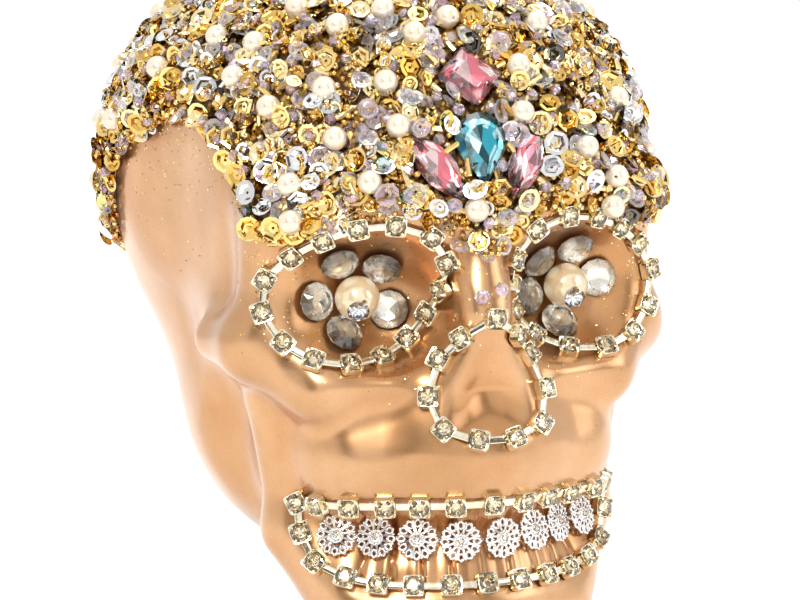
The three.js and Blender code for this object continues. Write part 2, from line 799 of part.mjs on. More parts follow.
add("skull_glass", glassSkull(), 0xc98d5f, 0.3, 0.55);
add("bead_crust", beadCrust(), 0xc9a24a, 0.35, 0.7);
GEMS.forEach(({ name, outline, colour }, i) =>
  add("crystal_" + name, placed(gem(outline), gemFrames[i]), colour, 0.08, 0.1),
);
pearlCentres.forEach((centre, i) => {
  const name = "pearl_" + String(i + 1).padStart(2, "0");
  add(name, solid(ball(PEARL).translate(...centre)), 0xf4ead6, 0.25, 0);
});
for (const [side, sign] of Object.entries(SIDES)) {
  add("eye_chain_" + side, cupChain(eyePath(sign), EYE_CUPS[side]), 0xd8cfae, 0.25, 0.8);
  const flower = eyeFlower(sign, EYE_FLOWER.degrees[side]);
  flower.stones.forEach((body, i) => {
    add("eye_stone_" + side + "_" + (i + 1), body, 0x9c9a9a, 0.12, 0.4);
  });
  add("eye_pearl_" + side, flower.pearl, 0xf1e2c4, 0.22, 0);
  add("eye_point_" + side, flower.point, 0xc6cad6, 0.1, 0.5);
}
add("nose_chain", cupChain(NOSE_PATH, NOSE_CUPS), 0xd8cfae, 0.25, 0.8);
add("mouth_chain", cupChain(MOUTH_PATH, MOUTH_CUPS), 0xd8cfae, 0.25, 0.8);
add("teeth_trim", filigreeTrim(), 0xe6e4ea, 0.3, 0.9);
add("foot_collar", beadCollar(), 0x6f6a66, 0.4, 0.6);

export default group;
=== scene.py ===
# %% [markdown]
# A glass skull dressed as an ornament. The head is one hollow of glass with satin copper paint.
# A crust of sequins, beads and pearls covers the crown, four cut crystals sit on the forehead,
# rhinestone chains run round the eyes, the nose and the mouth, each eye holds a flower of grey
# stones about a large pearl, and silver filigree flowers stand in front of the teeth.
# The packed CAD model says where everything goes. This script reads it as a fixed frame and lays
# the finished pieces over it, in metres, +Z up, with the face looking along -Y.

import math

import bpy
import numpy as np
from mathutils import Matrix, Vector
from mathutils.kdtree import KDTree
from mathutils.noise import fractal


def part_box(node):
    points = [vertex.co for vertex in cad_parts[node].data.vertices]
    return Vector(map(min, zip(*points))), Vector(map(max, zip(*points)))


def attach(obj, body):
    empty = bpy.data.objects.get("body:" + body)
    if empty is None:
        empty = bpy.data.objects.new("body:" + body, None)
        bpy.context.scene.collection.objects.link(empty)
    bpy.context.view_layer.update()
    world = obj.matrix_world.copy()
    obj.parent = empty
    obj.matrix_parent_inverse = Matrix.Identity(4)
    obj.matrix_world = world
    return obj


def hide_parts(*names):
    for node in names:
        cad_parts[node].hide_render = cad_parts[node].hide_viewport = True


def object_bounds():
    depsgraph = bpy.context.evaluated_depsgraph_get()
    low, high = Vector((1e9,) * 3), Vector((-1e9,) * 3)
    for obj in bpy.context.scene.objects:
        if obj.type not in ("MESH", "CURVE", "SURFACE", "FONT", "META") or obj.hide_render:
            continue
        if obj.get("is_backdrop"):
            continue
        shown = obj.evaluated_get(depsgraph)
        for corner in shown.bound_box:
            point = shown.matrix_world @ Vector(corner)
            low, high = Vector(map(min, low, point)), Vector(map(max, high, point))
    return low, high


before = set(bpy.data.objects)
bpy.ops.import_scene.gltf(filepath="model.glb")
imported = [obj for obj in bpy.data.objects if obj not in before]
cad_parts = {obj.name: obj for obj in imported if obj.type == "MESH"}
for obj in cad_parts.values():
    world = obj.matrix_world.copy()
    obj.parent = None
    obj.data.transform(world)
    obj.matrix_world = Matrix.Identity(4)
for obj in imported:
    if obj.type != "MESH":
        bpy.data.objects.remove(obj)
cad_box = [list(corner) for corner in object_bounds()]
print("CAD box, mm:", [[round(1000 * v, 1) for v in corner] for corner in cad_box])

# %% [markdown]
# The camera stands a little to the left of the face and a little above it, far away with a long
# lens, so that the skull keeps nearly parallel sides. The place of one known point of the skull in
# the picture fixes where the camera stands: the camera is slid sideways rather than turned, so the
# lens needs no shift.

# %% Camera
VIEW = {"azimuth": -20, "elevation": 10, "distance": 900, "pixels_per_mm": 4.1}
POINT_SEEN = {"place": (0, -47, 95), "pixel": (460, 287.6)}
PICTURE = (800, 600)
SENSOR_MM = 36
MM = 0.001

azimuth, elevation = math.radians(VIEW["azimuth"]), math.radians(VIEW["elevation"])
camera_back = Vector(
    (
        math.sin(azimuth) * math.cos(elevation),
        -math.cos(azimuth) * math.cos(elevation),
        math.sin(elevation),
    )
)
camera_right = Vector((math.cos(azimuth), math.sin(azimuth), 0))
camera_up = camera_back.cross(camera_right)
off_right = (POINT_SEEN["pixel"][0] - PICTURE[0] / 2) / VIEW["pixels_per_mm"]
off_down = (POINT_SEEN["pixel"][1] - PICTURE[1] / 2) / VIEW["pixels_per_mm"]
camera_place = (
    Vector(POINT_SEEN["place"])
    + VIEW["distance"] * camera_back
    - off_right * camera_right
    + off_down * camera_up
)
camera = bpy.data.objects.new("photo_camera", bpy.data.cameras.new("photo_camera"))
camera.data.sensor_width = SENSOR_MM
camera.data.lens = VIEW["pixels_per_mm"] * VIEW["distance"] / PICTURE[0] * SENSOR_MM
camera.data.clip_end = 20
camera.matrix_world = Matrix.Translation(camera_place * MM) @ Matrix(
    (camera_right, camera_up, camera_back)
).transposed().to_4x4()
bpy.context.scene.collection.objects.link(camera)
bpy.context.scene.camera = camera
print("camera at, mm:", [round(v) for v in camera_place], "lens:", round(camera.data.lens, 1))

# %% [markdown]
# The skull has no flat or turned parts, so it is described as a field: a function that tells, for
# any point, how far away the surface is. Stretched balls and round-ended rods are melted together,
# as a modeller adds lumps of clay, and others are pressed in. It is the same field that the CAD
# solids were cut from, so whatever sits on it here lands where the CAD says.

# %% Field helpers
def soft_min(a, b, soft):
    h = np.maximum(soft - np.abs(a - b), 0) / soft
    return np.minimum(a, b) - h * h * soft / 4


def soft_max(a, b, soft):
    return -soft_min(-a, -b, soft)


def ease(start, end, v):
    t = np.clip((v - start) / (end - start), 0, 1)
    return t * t * (3 - 2 * t)


def unit(v):
    return v / np.linalg.norm(v, axis=-1, keepdims=True)


def ball(at, half, turn_degrees=0):
    at, half = np.array(at, float), np.array(half, float)
    c, s = math.cos(math.radians(turn_degrees)), math.sin(math.radians(turn_degrees))

    def distance(p):
        q = p - at
        if turn_degrees:
            q = np.stack([c * q[:, 0] - s * q[:, 2], q[:, 1], c * q[:, 2] + s * q[:, 0]], 1)
        near = np.linalg.norm(q / half, axis=1)
        slope = np.linalg.norm(q / half**2, axis=1)
        return near * (near - 1) / np.maximum(slope, 1e-9)

    return distance


def rod(start, end, radii):
    start, along = np.array(start, float), np.subtract(end, start)

    def distance(p):
        q = p - start
        t = np.clip(q @ along / (along @ along), 0, 1)
        radius = radii[0] + (radii[1] - radii[0]) * t
        return np.linalg.norm(q - t[:, None] * along, axis=1) - radius

    return distance


def melted(forms, p, start=np.inf):
    d = start
    for form, soft, *pressed_in in forms:
        e = form(p)
        d = soft_max(d, -e, soft) if pressed_in else soft_min(d, e, soft)
    return d


def group_of(*forms):
    return lambda p: melted(forms, p)


print("a point 15 mm from the middle of a 10 mm ball:", ball((0, 0, 0), (10,) * 3)(np.eye(3) * 15))

# %% [markdown]
# These are the bones of one half of the head; the other half is its mirror image. The first number
# after each form is how wide the join melts, and IN marks a form that is pressed in.

# %% The bones
IN = True
BONES = [
    (ball((0, 16, 121), (66, 73, 52)), 1),  # brain case
    (ball((0, -14, 119), (53, 43, 42)), 14),  # forehead
    (ball((0, 44, 94), (53, 42, 46)), 24),  # back of the head
    (ball((0, 18, 58), (49, 50, 45)), 16),  # underside
    (ball((0, -16, 84), (54, 38, 30)), 14),  # side of the face
    (ball((76, -14, 112), (18, 34, 30)), 16, IN),  # temple
    (ball((54, -8, 44), (14, 16, 26)), 8, IN),  # behind the jaw
    (ball((0, -32, 78), (46, 30, 34)), 12),  # face
    (rod((4, -54, 116), (41, -45, 115), (8, 7.5)), 10),  # brow
    (rod((45, -38, 114), (47, -39, 88), (6, 6.5)), 10),  # outer rim of the eye
    (
        group_of(
            (rod((48, -37, 82), (36, -49, 73), (8, 7.5)), 1),
            (rod((36, -49, 73), (22, -56, 77), (7.5, 5)), 6),
        ),
        8,
    ),  # cheekbone
    (rod((50, -34, 81), (54, -20, 81), (6.5, 5)), 7),  # arch of the cheek
    (ball((0, -22, 50), (41, 32, 34)), 10),  # behind the mouth
    (
        group_of(
            (rod((0, -47, 55), (21, -42, 56), (22, 20)), 1),
            (rod((0, -50, 62), (0, -56, 92), (20, 12)), 12),
        ),
        4,
    ),  # muzzle
    (ball((0, -32, 24), (36, 33, 22)), 8),  # jaw
    (rod((42.5, -30, 66), (37, -32, 36), (6, 7)), 7),  # branch of the jaw
    (rod((37, -32, 34), (24, -48, 14), (7.5, 10)), 8),  # edge of the jaw
    (ball((0, -52, 12), (24, 15, 14)), 8),  # chin
]
HOLLOWS = [
    (ball((27.5, -66, 94), (22, 23, 17.5), -10), 5, IN),  # eye socket
    (rod((0, -59, 110), (0, -64, 92), (4.5, 5)), 6),  # bridge of the nose
    (
        group_of(
            (rod((0, -73, 86), (0, -74, 74), (5, 10)), 1),
            (rod((0, -75, 70), (6, -74, 69), (8, 7.5)), 3),
        ),
        3,
        IN,
    ),  # nose opening
    (rod((42, -78.5, 62), (33, -74, 67), (25, 14)), 5, IN),  # dent under the cheekbone
]
print(len(BONES), "bones and", len(HOLLOWS), "hollows")

# %% [markdown]
# The teeth stand back a little from the lips. Between two teeth runs a shallow groove, and each
# tooth is a little round. The grooves are pressed into the same field, so the light can run down
# their sides.

# %% The teeth and the whole head
TEETH_AXIS, TEETH_RADIUS, TEETH_PITCH = -24, 44, 8.6
MIDDLE_ROUNDING = 1
CHIN_ROUNDING = 4
TEETH_BAND = {"foot": (21, 25), "head": (48, 44), "end": (40, 32)}
GROOVE_BAND = {"foot": (23, 27), "head": (46.5, 43), "end": (38, 33)}
TEETH_BACK = 1.2
GROOVE = {"deep": 1.1, "wide": 0.8, "round": 1.2}


def round_teeth(p):
    return np.arctan2(p[:, 0], TEETH_AXIS - p[:, 1]) * TEETH_RADIUS


def within(band, z, along, depth=1):
    """The depth inside a band of heights that ends some way round the mouth, with soft edges."""
    return depth * ease(*band["foot"], z) * ease(*band["head"], z) * ease(*band["end"], along)


def skull_distance(points, with_grooves=False):
    z = points[:, 2]
    p = np.stack([np.hypot(points[:, 0], MIDDLE_ROUNDING), points[:, 1], z], 1)
    d = melted(BONES, p)
    along = round_teeth(p)
    d = d + within(TEETH_BAND, z, along, TEETH_BACK)
    if with_grooves:
        off = along / TEETH_PITCH - np.round(along / TEETH_PITCH)
        groove = GROOVE["deep"] * np.exp(-((off * TEETH_PITCH / GROOVE["wide"]) ** 2))
        d = d + within(GROOVE_BAND, z, along) * (groove + GROOVE["round"] * off**2)
    d = melted(HOLLOWS, p, d)
    return soft_max(d, -z, CHIN_ROUNDING)


print("from the middle of the head to its skin, mm:", skull_distance(np.array([[0.0, 0.0, 110.0]])))

# %% [markdown]
# A ray that comes in from far outside stops where it meets the field. Rays from two points on an
# upright line inside the head, low down and high up, reach all of its outside once, which gives a
# clean net of quads with no poles in the face.

# %% Rays that find the skin
LOW, HIGH, REACH = 58, 116, 150
MOST_STEPS, STEP_SHARE, NEAR_ENOUGH = 70, 0.6, 0.004


def cast_in(origins, ways, level=0, distance=skull_distance):
    origins, ways = np.atleast_2d(origins).astype(float), np.atleast_2d(ways).astype(float)
    origins = np.broadcast_to(origins, ways.shape)
    level = np.broadcast_to(np.asarray(level, float), len(ways))
    t = np.full(len(ways), float(REACH))
    live = np.arange(len(ways))
    for _ in range(MOST_STEPS):
        gap = distance(origins[live] + ways[live] * t[live, None]) - level[live]
        t[live] -= gap * STEP_SHARE
        live = live[np.abs(gap) > NEAR_ENOUGH]
        if len(live) == 0:
            break
    return origins + ways * t[:, None]


def way_out(turn, up):
    turn, up = np.broadcast_arrays(turn, up)
    return np.stack([np.sin(turn) * np.cos(up), -np.cos(turn) * np.cos(up), np.sin(up)], -1)


def turns_round(count, front_share):
    """Turns round the whole head, closer together over the face by that share."""
    turns = 2 * np.pi * np.arange(count) / count
    return turns - front_share * np.sin(turns)


def slope_at(places, reach=3):
    places = np.atleast_2d(places)
    parts = []
    for k in range(3):
        step = np.zeros(3)
        step[k] = reach
        parts.append(skull_distance(places + step) - skull_distance(places - step))
    return unit(np.stack(parts, 1))


def front_seat(x, z):
    x, z = np.broadcast_arrays(np.asarray(x, float), np.asarray(z, float))
    origins = np.stack([x.ravel(), np.zeros(x.size), z.ravel()], 1)
    return cast_in(origins, np.tile((0, -1, 0), (x.size, 1)))


print("tip of the nose bridge, mm:", front_seat(0, 100)[0].round(1))

# %% [markdown]
# All meshes here are written as plain arrays: corner points, then faces that list their corners.
# A small form is made once and laid down many times, each time at its own frame, and all its copies
# end up in one mesh. That keeps thousands of beads quick to make and easy to export.

# %% Forms
class Form:
    """Corner points in mm and faces, each with its own smooth flag and paint number."""

    def __init__(self, points, faces, smooth=False, paint=0):
        self.points = np.array(points, float).reshape(-1, 3)
        self.faces = [tuple(face) for face in faces]
        self.smooth = [smooth] * len(self.faces) if isinstance(smooth, bool) else list(smooth)
        self.paint = [paint] * len(self.faces) if isinstance(paint, int) else list(paint)

    def moved(self, matrix):
        m = np.array(matrix)
        return Form(self.points @ m[:3, :3].T + m[:3, 3], self.faces, self.smooth, self.paint)

    def __add__(self, other):
        first = len(self.points)
        later = [tuple(i + first for i in face) for face in other.faces]
        points = np.vstack([self.points, other.points])
        smooth, paint = self.smooth + other.smooth, self.paint + other.paint
        return Form(points, self.faces + later, smooth, paint)


triangle = Form([(0, 0, 0), (1, 0, 0), (0, 1, 0)], [(0, 1, 2)])
print("two triangles joined:", len((triangle + triangle).points), "corners")

# %% [markdown]
# A crust has thousands of beads, and an object for each would choke Blender. A pile multiplies all
# the corner points of a form by all its frames in one sum, and writes the mesh with foreach_set,
# which takes whole arrays and is far quicker than adding faces one by one.

# %% Piles of forms
class Pile:
    """Copies of forms, gathered for one mesh."""

    def __init__(self):
        self.points, self.loops, self.sizes, self.smooth, self.paint = [], [], [], [], []
        self.corners = 0

    def lay(self, form, places, bases=None):
        places = np.atleast_2d(places)
        if bases is None:
            bases = np.tile(np.eye(3), (len(places), 1, 1))
        loops = np.concatenate([np.array(face) for face in form.faces])
        laid = np.einsum("mij,nj->mni", bases, form.points) + places[:, None, :]
        starts = self.corners + len(form.points) * np.arange(len(places))
        self.points.append(laid.reshape(-1, 3))
        self.loops.append((loops[None, :] + starts[:, None]).ravel())
        self.sizes.append(np.tile([len(face) for face in form.faces], len(places)))
        self.smooth.append(np.tile(form.smooth, len(places)))
        self.paint.append(np.tile(form.paint, len(places)))
        self.corners += len(form.points) * len(places)
        return self

    def mesh_object(self, name, *materials):
        mesh = bpy.data.meshes.new(name)
        sizes, loops = np.concatenate(self.sizes), np.concatenate(self.loops)
        mesh.vertices.add(self.corners)
        mesh.vertices.foreach_set("co", (np.concatenate(self.points) * MM).ravel())
        mesh.loops.add(len(loops))
        mesh.loops.foreach_set("vertex_index", loops.astype(np.int32))
        mesh.polygons.add(len(sizes))
        starts = np.concatenate([[0], np.cumsum(sizes)[:-1]])
        mesh.polygons.foreach_set("loop_start", starts.astype(np.int32))
        mesh.update(calc_edges=True)
        mesh.polygons.foreach_set("use_smooth", np.concatenate(self.smooth).astype(bool))
        for material in materials:
            mesh.materials.append(material)
        mesh.polygons.foreach_set("material_index", np.concatenate(self.paint).astype(np.int32))
        mesh.validate()
        made = bpy.data.objects.new(name, mesh)
        bpy.context.scene.collection.objects.link(made)
        return made


def glue(piece, slot, *nodes):
    """Puts the piece on the one rigid body and hides the nodes it stands for. The slot is not used.
    """
    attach(piece, "root")
    if nodes:
        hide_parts(*nodes)
    print(piece.name, "-", len(piece.data.polygons), "faces, in place of", list(nodes) or "nothing")


# %% [markdown]
# Most small parts are turned: a profile of radius and height goes round an axis. A profile that
# starts and ends at radius zero closes on itself, and one that closes into a loop gives a ring or
# a part with a hole through it, like a drilled pearl.

# %% Turned forms and lofts
def loft(rings, loop=False, smooth=False):
    """Skin over rings of equal count, each a list of points, with both ends closed."""
    n, m = len(rings[0]), len(rings)
    points = np.concatenate([np.array(ring, float) for ring in rings])
    faces = []
    for i in range(m if loop else m - 1):
        for j in range(n):
            a, b = i * n, ((i + 1) % m) * n
            k = (j + 1) % n
            faces.append((a + j, a + k, b + k, b + j))
    if not loop:
        faces.append(tuple(reversed(range(n))))
        faces.append(tuple((m - 1) * n + j for j in range(n)))
    return Form(points, faces, smooth)


def turned(profile, sides, loop=False, smooth=True):
    """A profile of (radius, height) turned about Z. A zero radius closes to one point."""
    angles = 2 * math.pi * np.arange(sides) / sides
    points, rows = [], []
    for radius, height in profile:
        if radius == 0:
            rows.append([len(points)] * sides)
            points.append((0, 0, height))
        else:
            rows.append([len(points) + j for j in range(sides)])
            points += [(radius * math.cos(a), radius * math.sin(a), height) for a in angles]
    faces = []
    pairs = list(zip(rows, rows[1:] + rows[:1])) if loop else list(zip(rows, rows[1:]))
    for low, high in pairs:
        for j in range(sides):
            k = (j + 1) % sides
            face = [low[j], low[k], high[k], high[j]]
            faces.append(tuple(dict.fromkeys(face)))
    return Form(points, faces, smooth)


print("a spinning top of 8 sides has", len(turned([(0, -1), (1, 0), (0, 1)], 8).faces), "faces")

# %% [markdown]
# A stone with a flat back stands on a curved skin only on its rim. A shrinkwrap modifier would
# press it on, but bend it too. So a seat is found in two steps: the way out at its middle gives the
# tilt, and then it is lifted until every point of its rim is just clear of the skin.

# %% Seats on the skull
SEAT_CLEARANCE, RIM_POINTS = 0.3, 8


def seat_frames(places, radius=0.0, turn=0.0):
    """Frames that stand on the skull: X level, Y up along it, Z out. They are lifted until a foot
    of that radius is clear of the skin. Gives origins and bases."""
    places = np.atleast_2d(places)
    out = slope_at(places)
    side = unit(np.cross((0, 0, 1), out))
    tall = np.cross(out, side)
    lift = np.full(len(places), SEAT_CLEARANCE)
    for i in range(RIM_POINTS):
        a = 2 * math.pi * i / RIM_POINTS
        rim = places + radius * (math.cos(a) * side + math.sin(a) * tall)
        lift = np.maximum(lift, SEAT_CLEARANCE - skull_distance(rim))
    c, s = np.cos(turn), np.sin(turn)
    c, s = (np.broadcast_to(v, len(places))[:, None] for v in (c, s))
    bases = np.stack([c * side + s * tall, c * tall - s * side, out], 2)
    return places + out * lift[:, None], bases


print("a 5 mm foot on the forehead stands", seat_frames(front_seat(0, 120), 5)[0].round(1))

# %% [markdown]
# Finishes are built with nodes on the Principled shader. A number that is the same all over is set
# on the shader's own socket, so that an export keeps it. What varies comes from noise in the
# object's own space, or from a random number per loose part, so no two sequins look the same.

# %% Finish helpers
class Finish:
    """A material with a few helpers that add and link nodes."""

    def __init__(self, name, **sockets):
        self.material = bpy.data.materials.new(name)
        self.material.use_nodes = True
        self.nodes = self.material.node_tree.nodes
        self.links = self.material.node_tree.links
        self.shader = self.nodes["Principled BSDF"]
        for socket, value in sockets.items():
            self.shader.inputs[socket.replace("_", " ")].default_value = value

    def add(self, kind, **settings):
        node = self.nodes.new("ShaderNode" + kind)
        for key, value in settings.items():
            if key in node.inputs:
                node.inputs[key].default_value = value
            else:
                setattr(node, key, value)
        return node

    def noise(self, scale, detail=3.0, roughness=0.5):
        where = self.add("TexCoord")
        noise = self.add("TexNoise", Scale=scale, Detail=detail, Roughness=roughness)
        self.links.new(where.outputs["Object"], noise.inputs["Vector"])
        return noise.outputs["Fac"]

    def cells(self, scale):
        where = self.add("TexCoord")
        cells = self.add("TexVoronoi", Scale=scale)
        self.links.new(where.outputs["Object"], cells.inputs["Vector"])
        return cells.outputs["Distance"]

    def stored(self, attribute):
        return self.add("Attribute", attribute_name=attribute).outputs["Fac"]

    def island(self):
        return self.add("NewGeometry").outputs["Random Per Island"]

    def ramp(self, factor, *stops):
        ramp = self.add("ValToRGB")
        elements = ramp.color_ramp.elements
        while len(elements) < len(stops):
            elements.new(0.5)
        for element, (place, colour) in zip(elements, stops):
            element.position = place
            element.color = (*colour, 1)
        self.links.new(factor, ramp.inputs["Fac"])
        return ramp.outputs["Color"]

    def mixed(self, factor, a, b, blend="MIX"):
        mix = self.add("Mix", data_type="RGBA", blend_type=blend)
        for socket, value in ((mix.inputs[0], factor), (mix.inputs[6], a), (mix.inputs[7], b)):
            if isinstance(value, bpy.types.NodeSocket):
                self.links.new(value, socket)
            else:
                socket.default_value = value
        return mix.outputs[2]

    def span(self, factor, low, high):
        span = self.add("MapRange")
        span.inputs["To Min"].default_value = low
        span.inputs["To Max"].default_value = high
        self.links.new(factor, span.inputs["Value"])
        return span.outputs["Result"]

    def bump(self, height, distance, strength=1.0):
        bump = self.add("Bump", Strength=strength, Distance=distance)
        self.links.new(height, bump.inputs["Height"])
        self.links.new(bump.outputs["Normal"], self.shader.inputs["Normal"])

    def set(self, socket, output):
        self.links.new(output, self.shader.inputs[socket])


print("finish helpers:", [name for name in vars(Finish) if not name.startswith("_")])

# %% [markdown]
# Satin copper paint on glass. Real paint of this kind is fine metal flake in a clear binder: it is
# metallic but soft, darker and redder where the light leaves it, pale at a grazing look because the
# smooth glass coat reflects the room there. Slow noise varies how thick the paint lies, and a very
# fine noise breaks the highlight up into flakes. In hollows the colour is made darker and warmer,
# as painted shade. How deep in a hollow a place lies is measured below on the field and stored with
# the mesh.

# %% Copper paint on glass
copper = Finish(
    "copper_paint_on_glass",
    Metallic=0.86,
    Coat_Weight=0.40,
    Coat_Roughness=0.17,
    Coat_IOR=1.5,
    Sheen_Weight=0.30,
    Sheen_Roughness=0.30,
    Sheen_Tint=(1.0, 0.86, 0.78, 1),
)
thickness = copper.noise(38, 4, 0.55)
paint = copper.ramp(
    thickness,
    (0.30, (0.52, 0.270, 0.114)),
    (0.50, (0.61, 0.336, 0.159)),
    (0.72, (0.71, 0.420, 0.226)),
)
flakes = copper.ramp(copper.noise(2600, 1, 0.5), (0.42, (0.95, 0.94, 0.92)), (0.62, (1, 1, 1)))
# Painted shade: in hollows, where shade falls, the copper colour is made darker and warmer.
painted_hollow_shade = copper.mixed(copper.stored("shelter"), (1, 1, 1, 1), (0.95, 0.83, 0.66, 1))
paint = copper.mixed(1.0, paint, painted_hollow_shade, "MULTIPLY")
copper.set("Base Color", copper.mixed(1.0, paint, flakes, "MULTIPLY"))
copper.set("Roughness", copper.span(copper.noise(90, 3), 0.23, 0.35))
copper.bump(copper.noise(110, 3), 0.0002, 0.18)
print("finish:", copper.material.name)

# %% [markdown]
# The head is one closed net over the field, finer over the face than over the crown, which the
# crust hides. It is a blown hollow, so an inner skin 4.5 mm deeper is taken away from it, and a
# bore goes up through the round foot. Blender's Manifold solver does these cuts in a moment.

# %% A net over the skull
GLASS = 4.5
FOOT = {"y": -14, "radius": 25, "tall": 30, "sides": 96}
BORE = {"y": -20, "radius": 13, "tall": 34, "below": 5, "sides": 64}
OUTER_NET = {"columns": 340, "low": 104, "middle": 70, "top": 26}
OUTER_NET |= {"front_share": 0.62, "low_share": 0.75}
INNER_NET = {"columns": 120, "low": 34, "middle": 22, "top": 16}
INNER_NET |= {"front_share": 0.4, "low_share": 0.8}
SHARP_DEGREES = 38
HOLLOW_SHADE = {"reaches": (10, 18, 28), "open_from": 0.95, "range": 0.35}


def head_net(level, distance, columns, low, middle, top, front_share, low_share):
    """A closed net, its columns closer over the face, its rows cast from LOW up to HIGH."""
    turns = turns_round(columns, front_share)
    rows = [(LOW, -np.pi / 2 * (1 - (i / low) ** low_share)) for i in range(1, low)]
    rows += [(LOW + (HIGH - LOW) * i / middle, 0.0) for i in range(middle)]
    rows += [(HIGH, np.pi / 2 * i / top) for i in range(top)]
    origins = np.array([[0, 0, z] for z, _ in rows for _ in turns])
    ways = way_out(np.tile(turns, len(rows)), np.repeat([up for _, up in rows], columns))
    ends = cast_in([[0, 0, LOW], [0, 0, HIGH]], [[0, 0, -1], [0, 0, 1]], level, distance)
    points = np.vstack([cast_in(origins, ways, level, distance), ends])
    first, last = len(rows) * columns, len(rows) * columns + 1
    faces = []
    for j in range(columns):
        k = (j + 1) % columns
        for i in range(len(rows) - 1):
            a, b = i * columns, (i + 1) * columns
            faces.append((a + j, a + k, b + k, b + j))
        faces.append((first, k, j))
        top_row = (len(rows) - 1) * columns
        faces.append((last, top_row + j, top_row + k))
    return Form(points, faces, smooth=True)


print("the outer net has", OUTER_NET["columns"], "columns, the inner", INNER_NET["columns"])

# %% [markdown]
# Now the two nets are made and cut. A solidify modifier would give a wall as well, but it crosses
# itself in tight places such as the nose, so the inner skin is a net of its own, cast deeper in the
# field. First the round foot is joined on, then the inner skin and the bore are taken away. How
# deep in a hollow the paint lies, for its painted shade, comes from the field too: where a point a
# little way out is nearer to the skin than it would be over flat ground, the place lies in a
# hollow.

# %% The glass head
def upright_cylinder(size, low):
    radius, high = size["radius"], size["tall"]
    profile = [(0, low), (radius, low), (radius, high), (0, high)]
    made = turned(profile, size["sides"], smooth=False)
    return Form(made.points + (0, size["y"], 0), made.faces)


def cut_with(piece, form, operation, places=(0, 0, 0), bases=None):
    tool = Pile().lay(form, places, bases).mesh_object("cutter", *piece.data.materials)
    modifier = piece.modifiers.new("cut", "BOOLEAN")
    modifier.operation, modifier.solver, modifier.object = operation, "MANIFOLD", tool
    graph = bpy.context.evaluated_depsgraph_get()
    mesh = bpy.data.meshes.new_from_object(piece.evaluated_get(graph))
    piece.modifiers.clear()
    piece.data = mesh
    bpy.data.objects.remove(tool)


def grooved(p):
    return skull_distance(p, with_grooves=True)


outer = head_net(0, grooved, **OUTER_NET)
inner = head_net(-GLASS, skull_distance, **INNER_NET)
head = Pile().lay(outer, (0, 0, 0)).mesh_object("head")
cut_with(head, upright_cylinder(FOOT, 0), "UNION")
cut_with(head, inner, "DIFFERENCE")
cut_with(head, upright_cylinder(BORE, -BORE["below"]), "DIFFERENCE")
head.data.materials.clear()
head.data.materials.append(copper.material)
head.data.polygons.foreach_set("use_smooth", np.ones(len(head.data.polygons), bool))
head.data.set_sharp_from_angle(angle=math.radians(SHARP_DEGREES))
skin_points = np.array([vertex.co for vertex in head.data.vertices]) / MM
skin_out = slope_at(skin_points)
# How deep in a hollow each point lies sets the painted shade on the copper.
open_share = np.mean(
    [skull_distance(skin_points + reach * skin_out) / reach for reach in HOLLOW_SHADE["reaches"]], 0
)
sheltered = np.clip((HOLLOW_SHADE["open_from"] - open_share) / HOLLOW_SHADE["range"], 0, 1)
shelter = head.data.attributes.new("shelter", "FLOAT", "POINT")
shelter.data.foreach_set("value", sheltered.astype(np.float32))
glue(head, "copper_glass", "skull_glass")

# %% [markdown]
# The four crystals are sewn-on glass: a flat table, a bright girdle, sloping facets between them,
# and a foiled back cut to a low pyramid. Real foil mirrors the light back through the colour, and
# that is what makes the dark and light facets. So here too the back faces carry a mirror finish
# inside a body of clear tinted glass. A pale foil and a deep one take turns: the deep one is a
# darker copy that paints dark reflections, and shade on one side, because a few facets alone
# mirror too little of a plain white room. Small holes are drilled for the thread.

# %% Crystal finishes
def tinted_glass(name, tint, roughness=0.0):
    glass = Finish(
        name,
        Transmission_Weight=0.97,
        IOR=1.6,
        Roughness=roughness,
        Coat_Weight=0.4,
        Coat_Roughness=0.01,
    )
    deep, pale = (tuple(min(1, c * k) for c in tint) for k in (0.95, 1.04))
    wave = glass.noise(120, 1)
    glass.set("Base Color", glass.ramp(wave, (0.35, deep), (0.65, pale)))
    glass.bump(glass.noise(300, 1), 0.00001, 0.12)
    return glass.material


def foil(name, tint, roughness):
    back = Finish(name, Metallic=1.0, Roughness=roughness)
    shade = back.ramp(back.noise(300, 1), (0.3, tuple(0.9 * c for c in tint)), (0.7, tint))
    back.set("Base Color", shade)
    back.bump(back.noise(400, 1), 0.00001, 0.15)
    return back.material


# Each deep foil is a darker copy of the pale one: painted shade and painted dark reflections on
# some back facets.
pink_glass = tinted_glass("pink_crystal_glass", (1.0, 0.78, 0.80))
pink_foils = (
    foil("pink_crystal_foil", (1.0, 0.90, 0.88), 0.18),
    foil("rose_painted_shade_foil", (0.88, 0.22, 0.28), 0.08),
)
aqua_glass = tinted_glass("aqua_crystal_glass", (0.66, 0.94, 1.0))
aqua_foils = (
    foil("aqua_crystal_foil", (0.87, 0.98, 1.0), 0.15),
    foil("teal_painted_shade_foil", (0.05, 0.50, 0.62), 0.08),
)
print("crystal finishes:", pink_glass.name, aqua_glass.name)

# %% [markdown]
# All the cut stones here share one way of cutting. A bevelled plate would have a single row of
# facets, and real stones have two or more. So the outline is repeated, smaller, at the table, and
# the corners of the middle row stand halfway between, which keeps each facet flat. The pyramid at
# the back is cut the same way and ends in a point.

# %% A cut stone
BACK_ROW_SHARE, BACK_ROW_RISE = 0.52, 0.42


def polygon(radius, sides):
    angles = 2 * np.pi / sides * np.arange(sides)
    return [(radius * math.cos(a), radius * math.sin(a)) for a in angles]


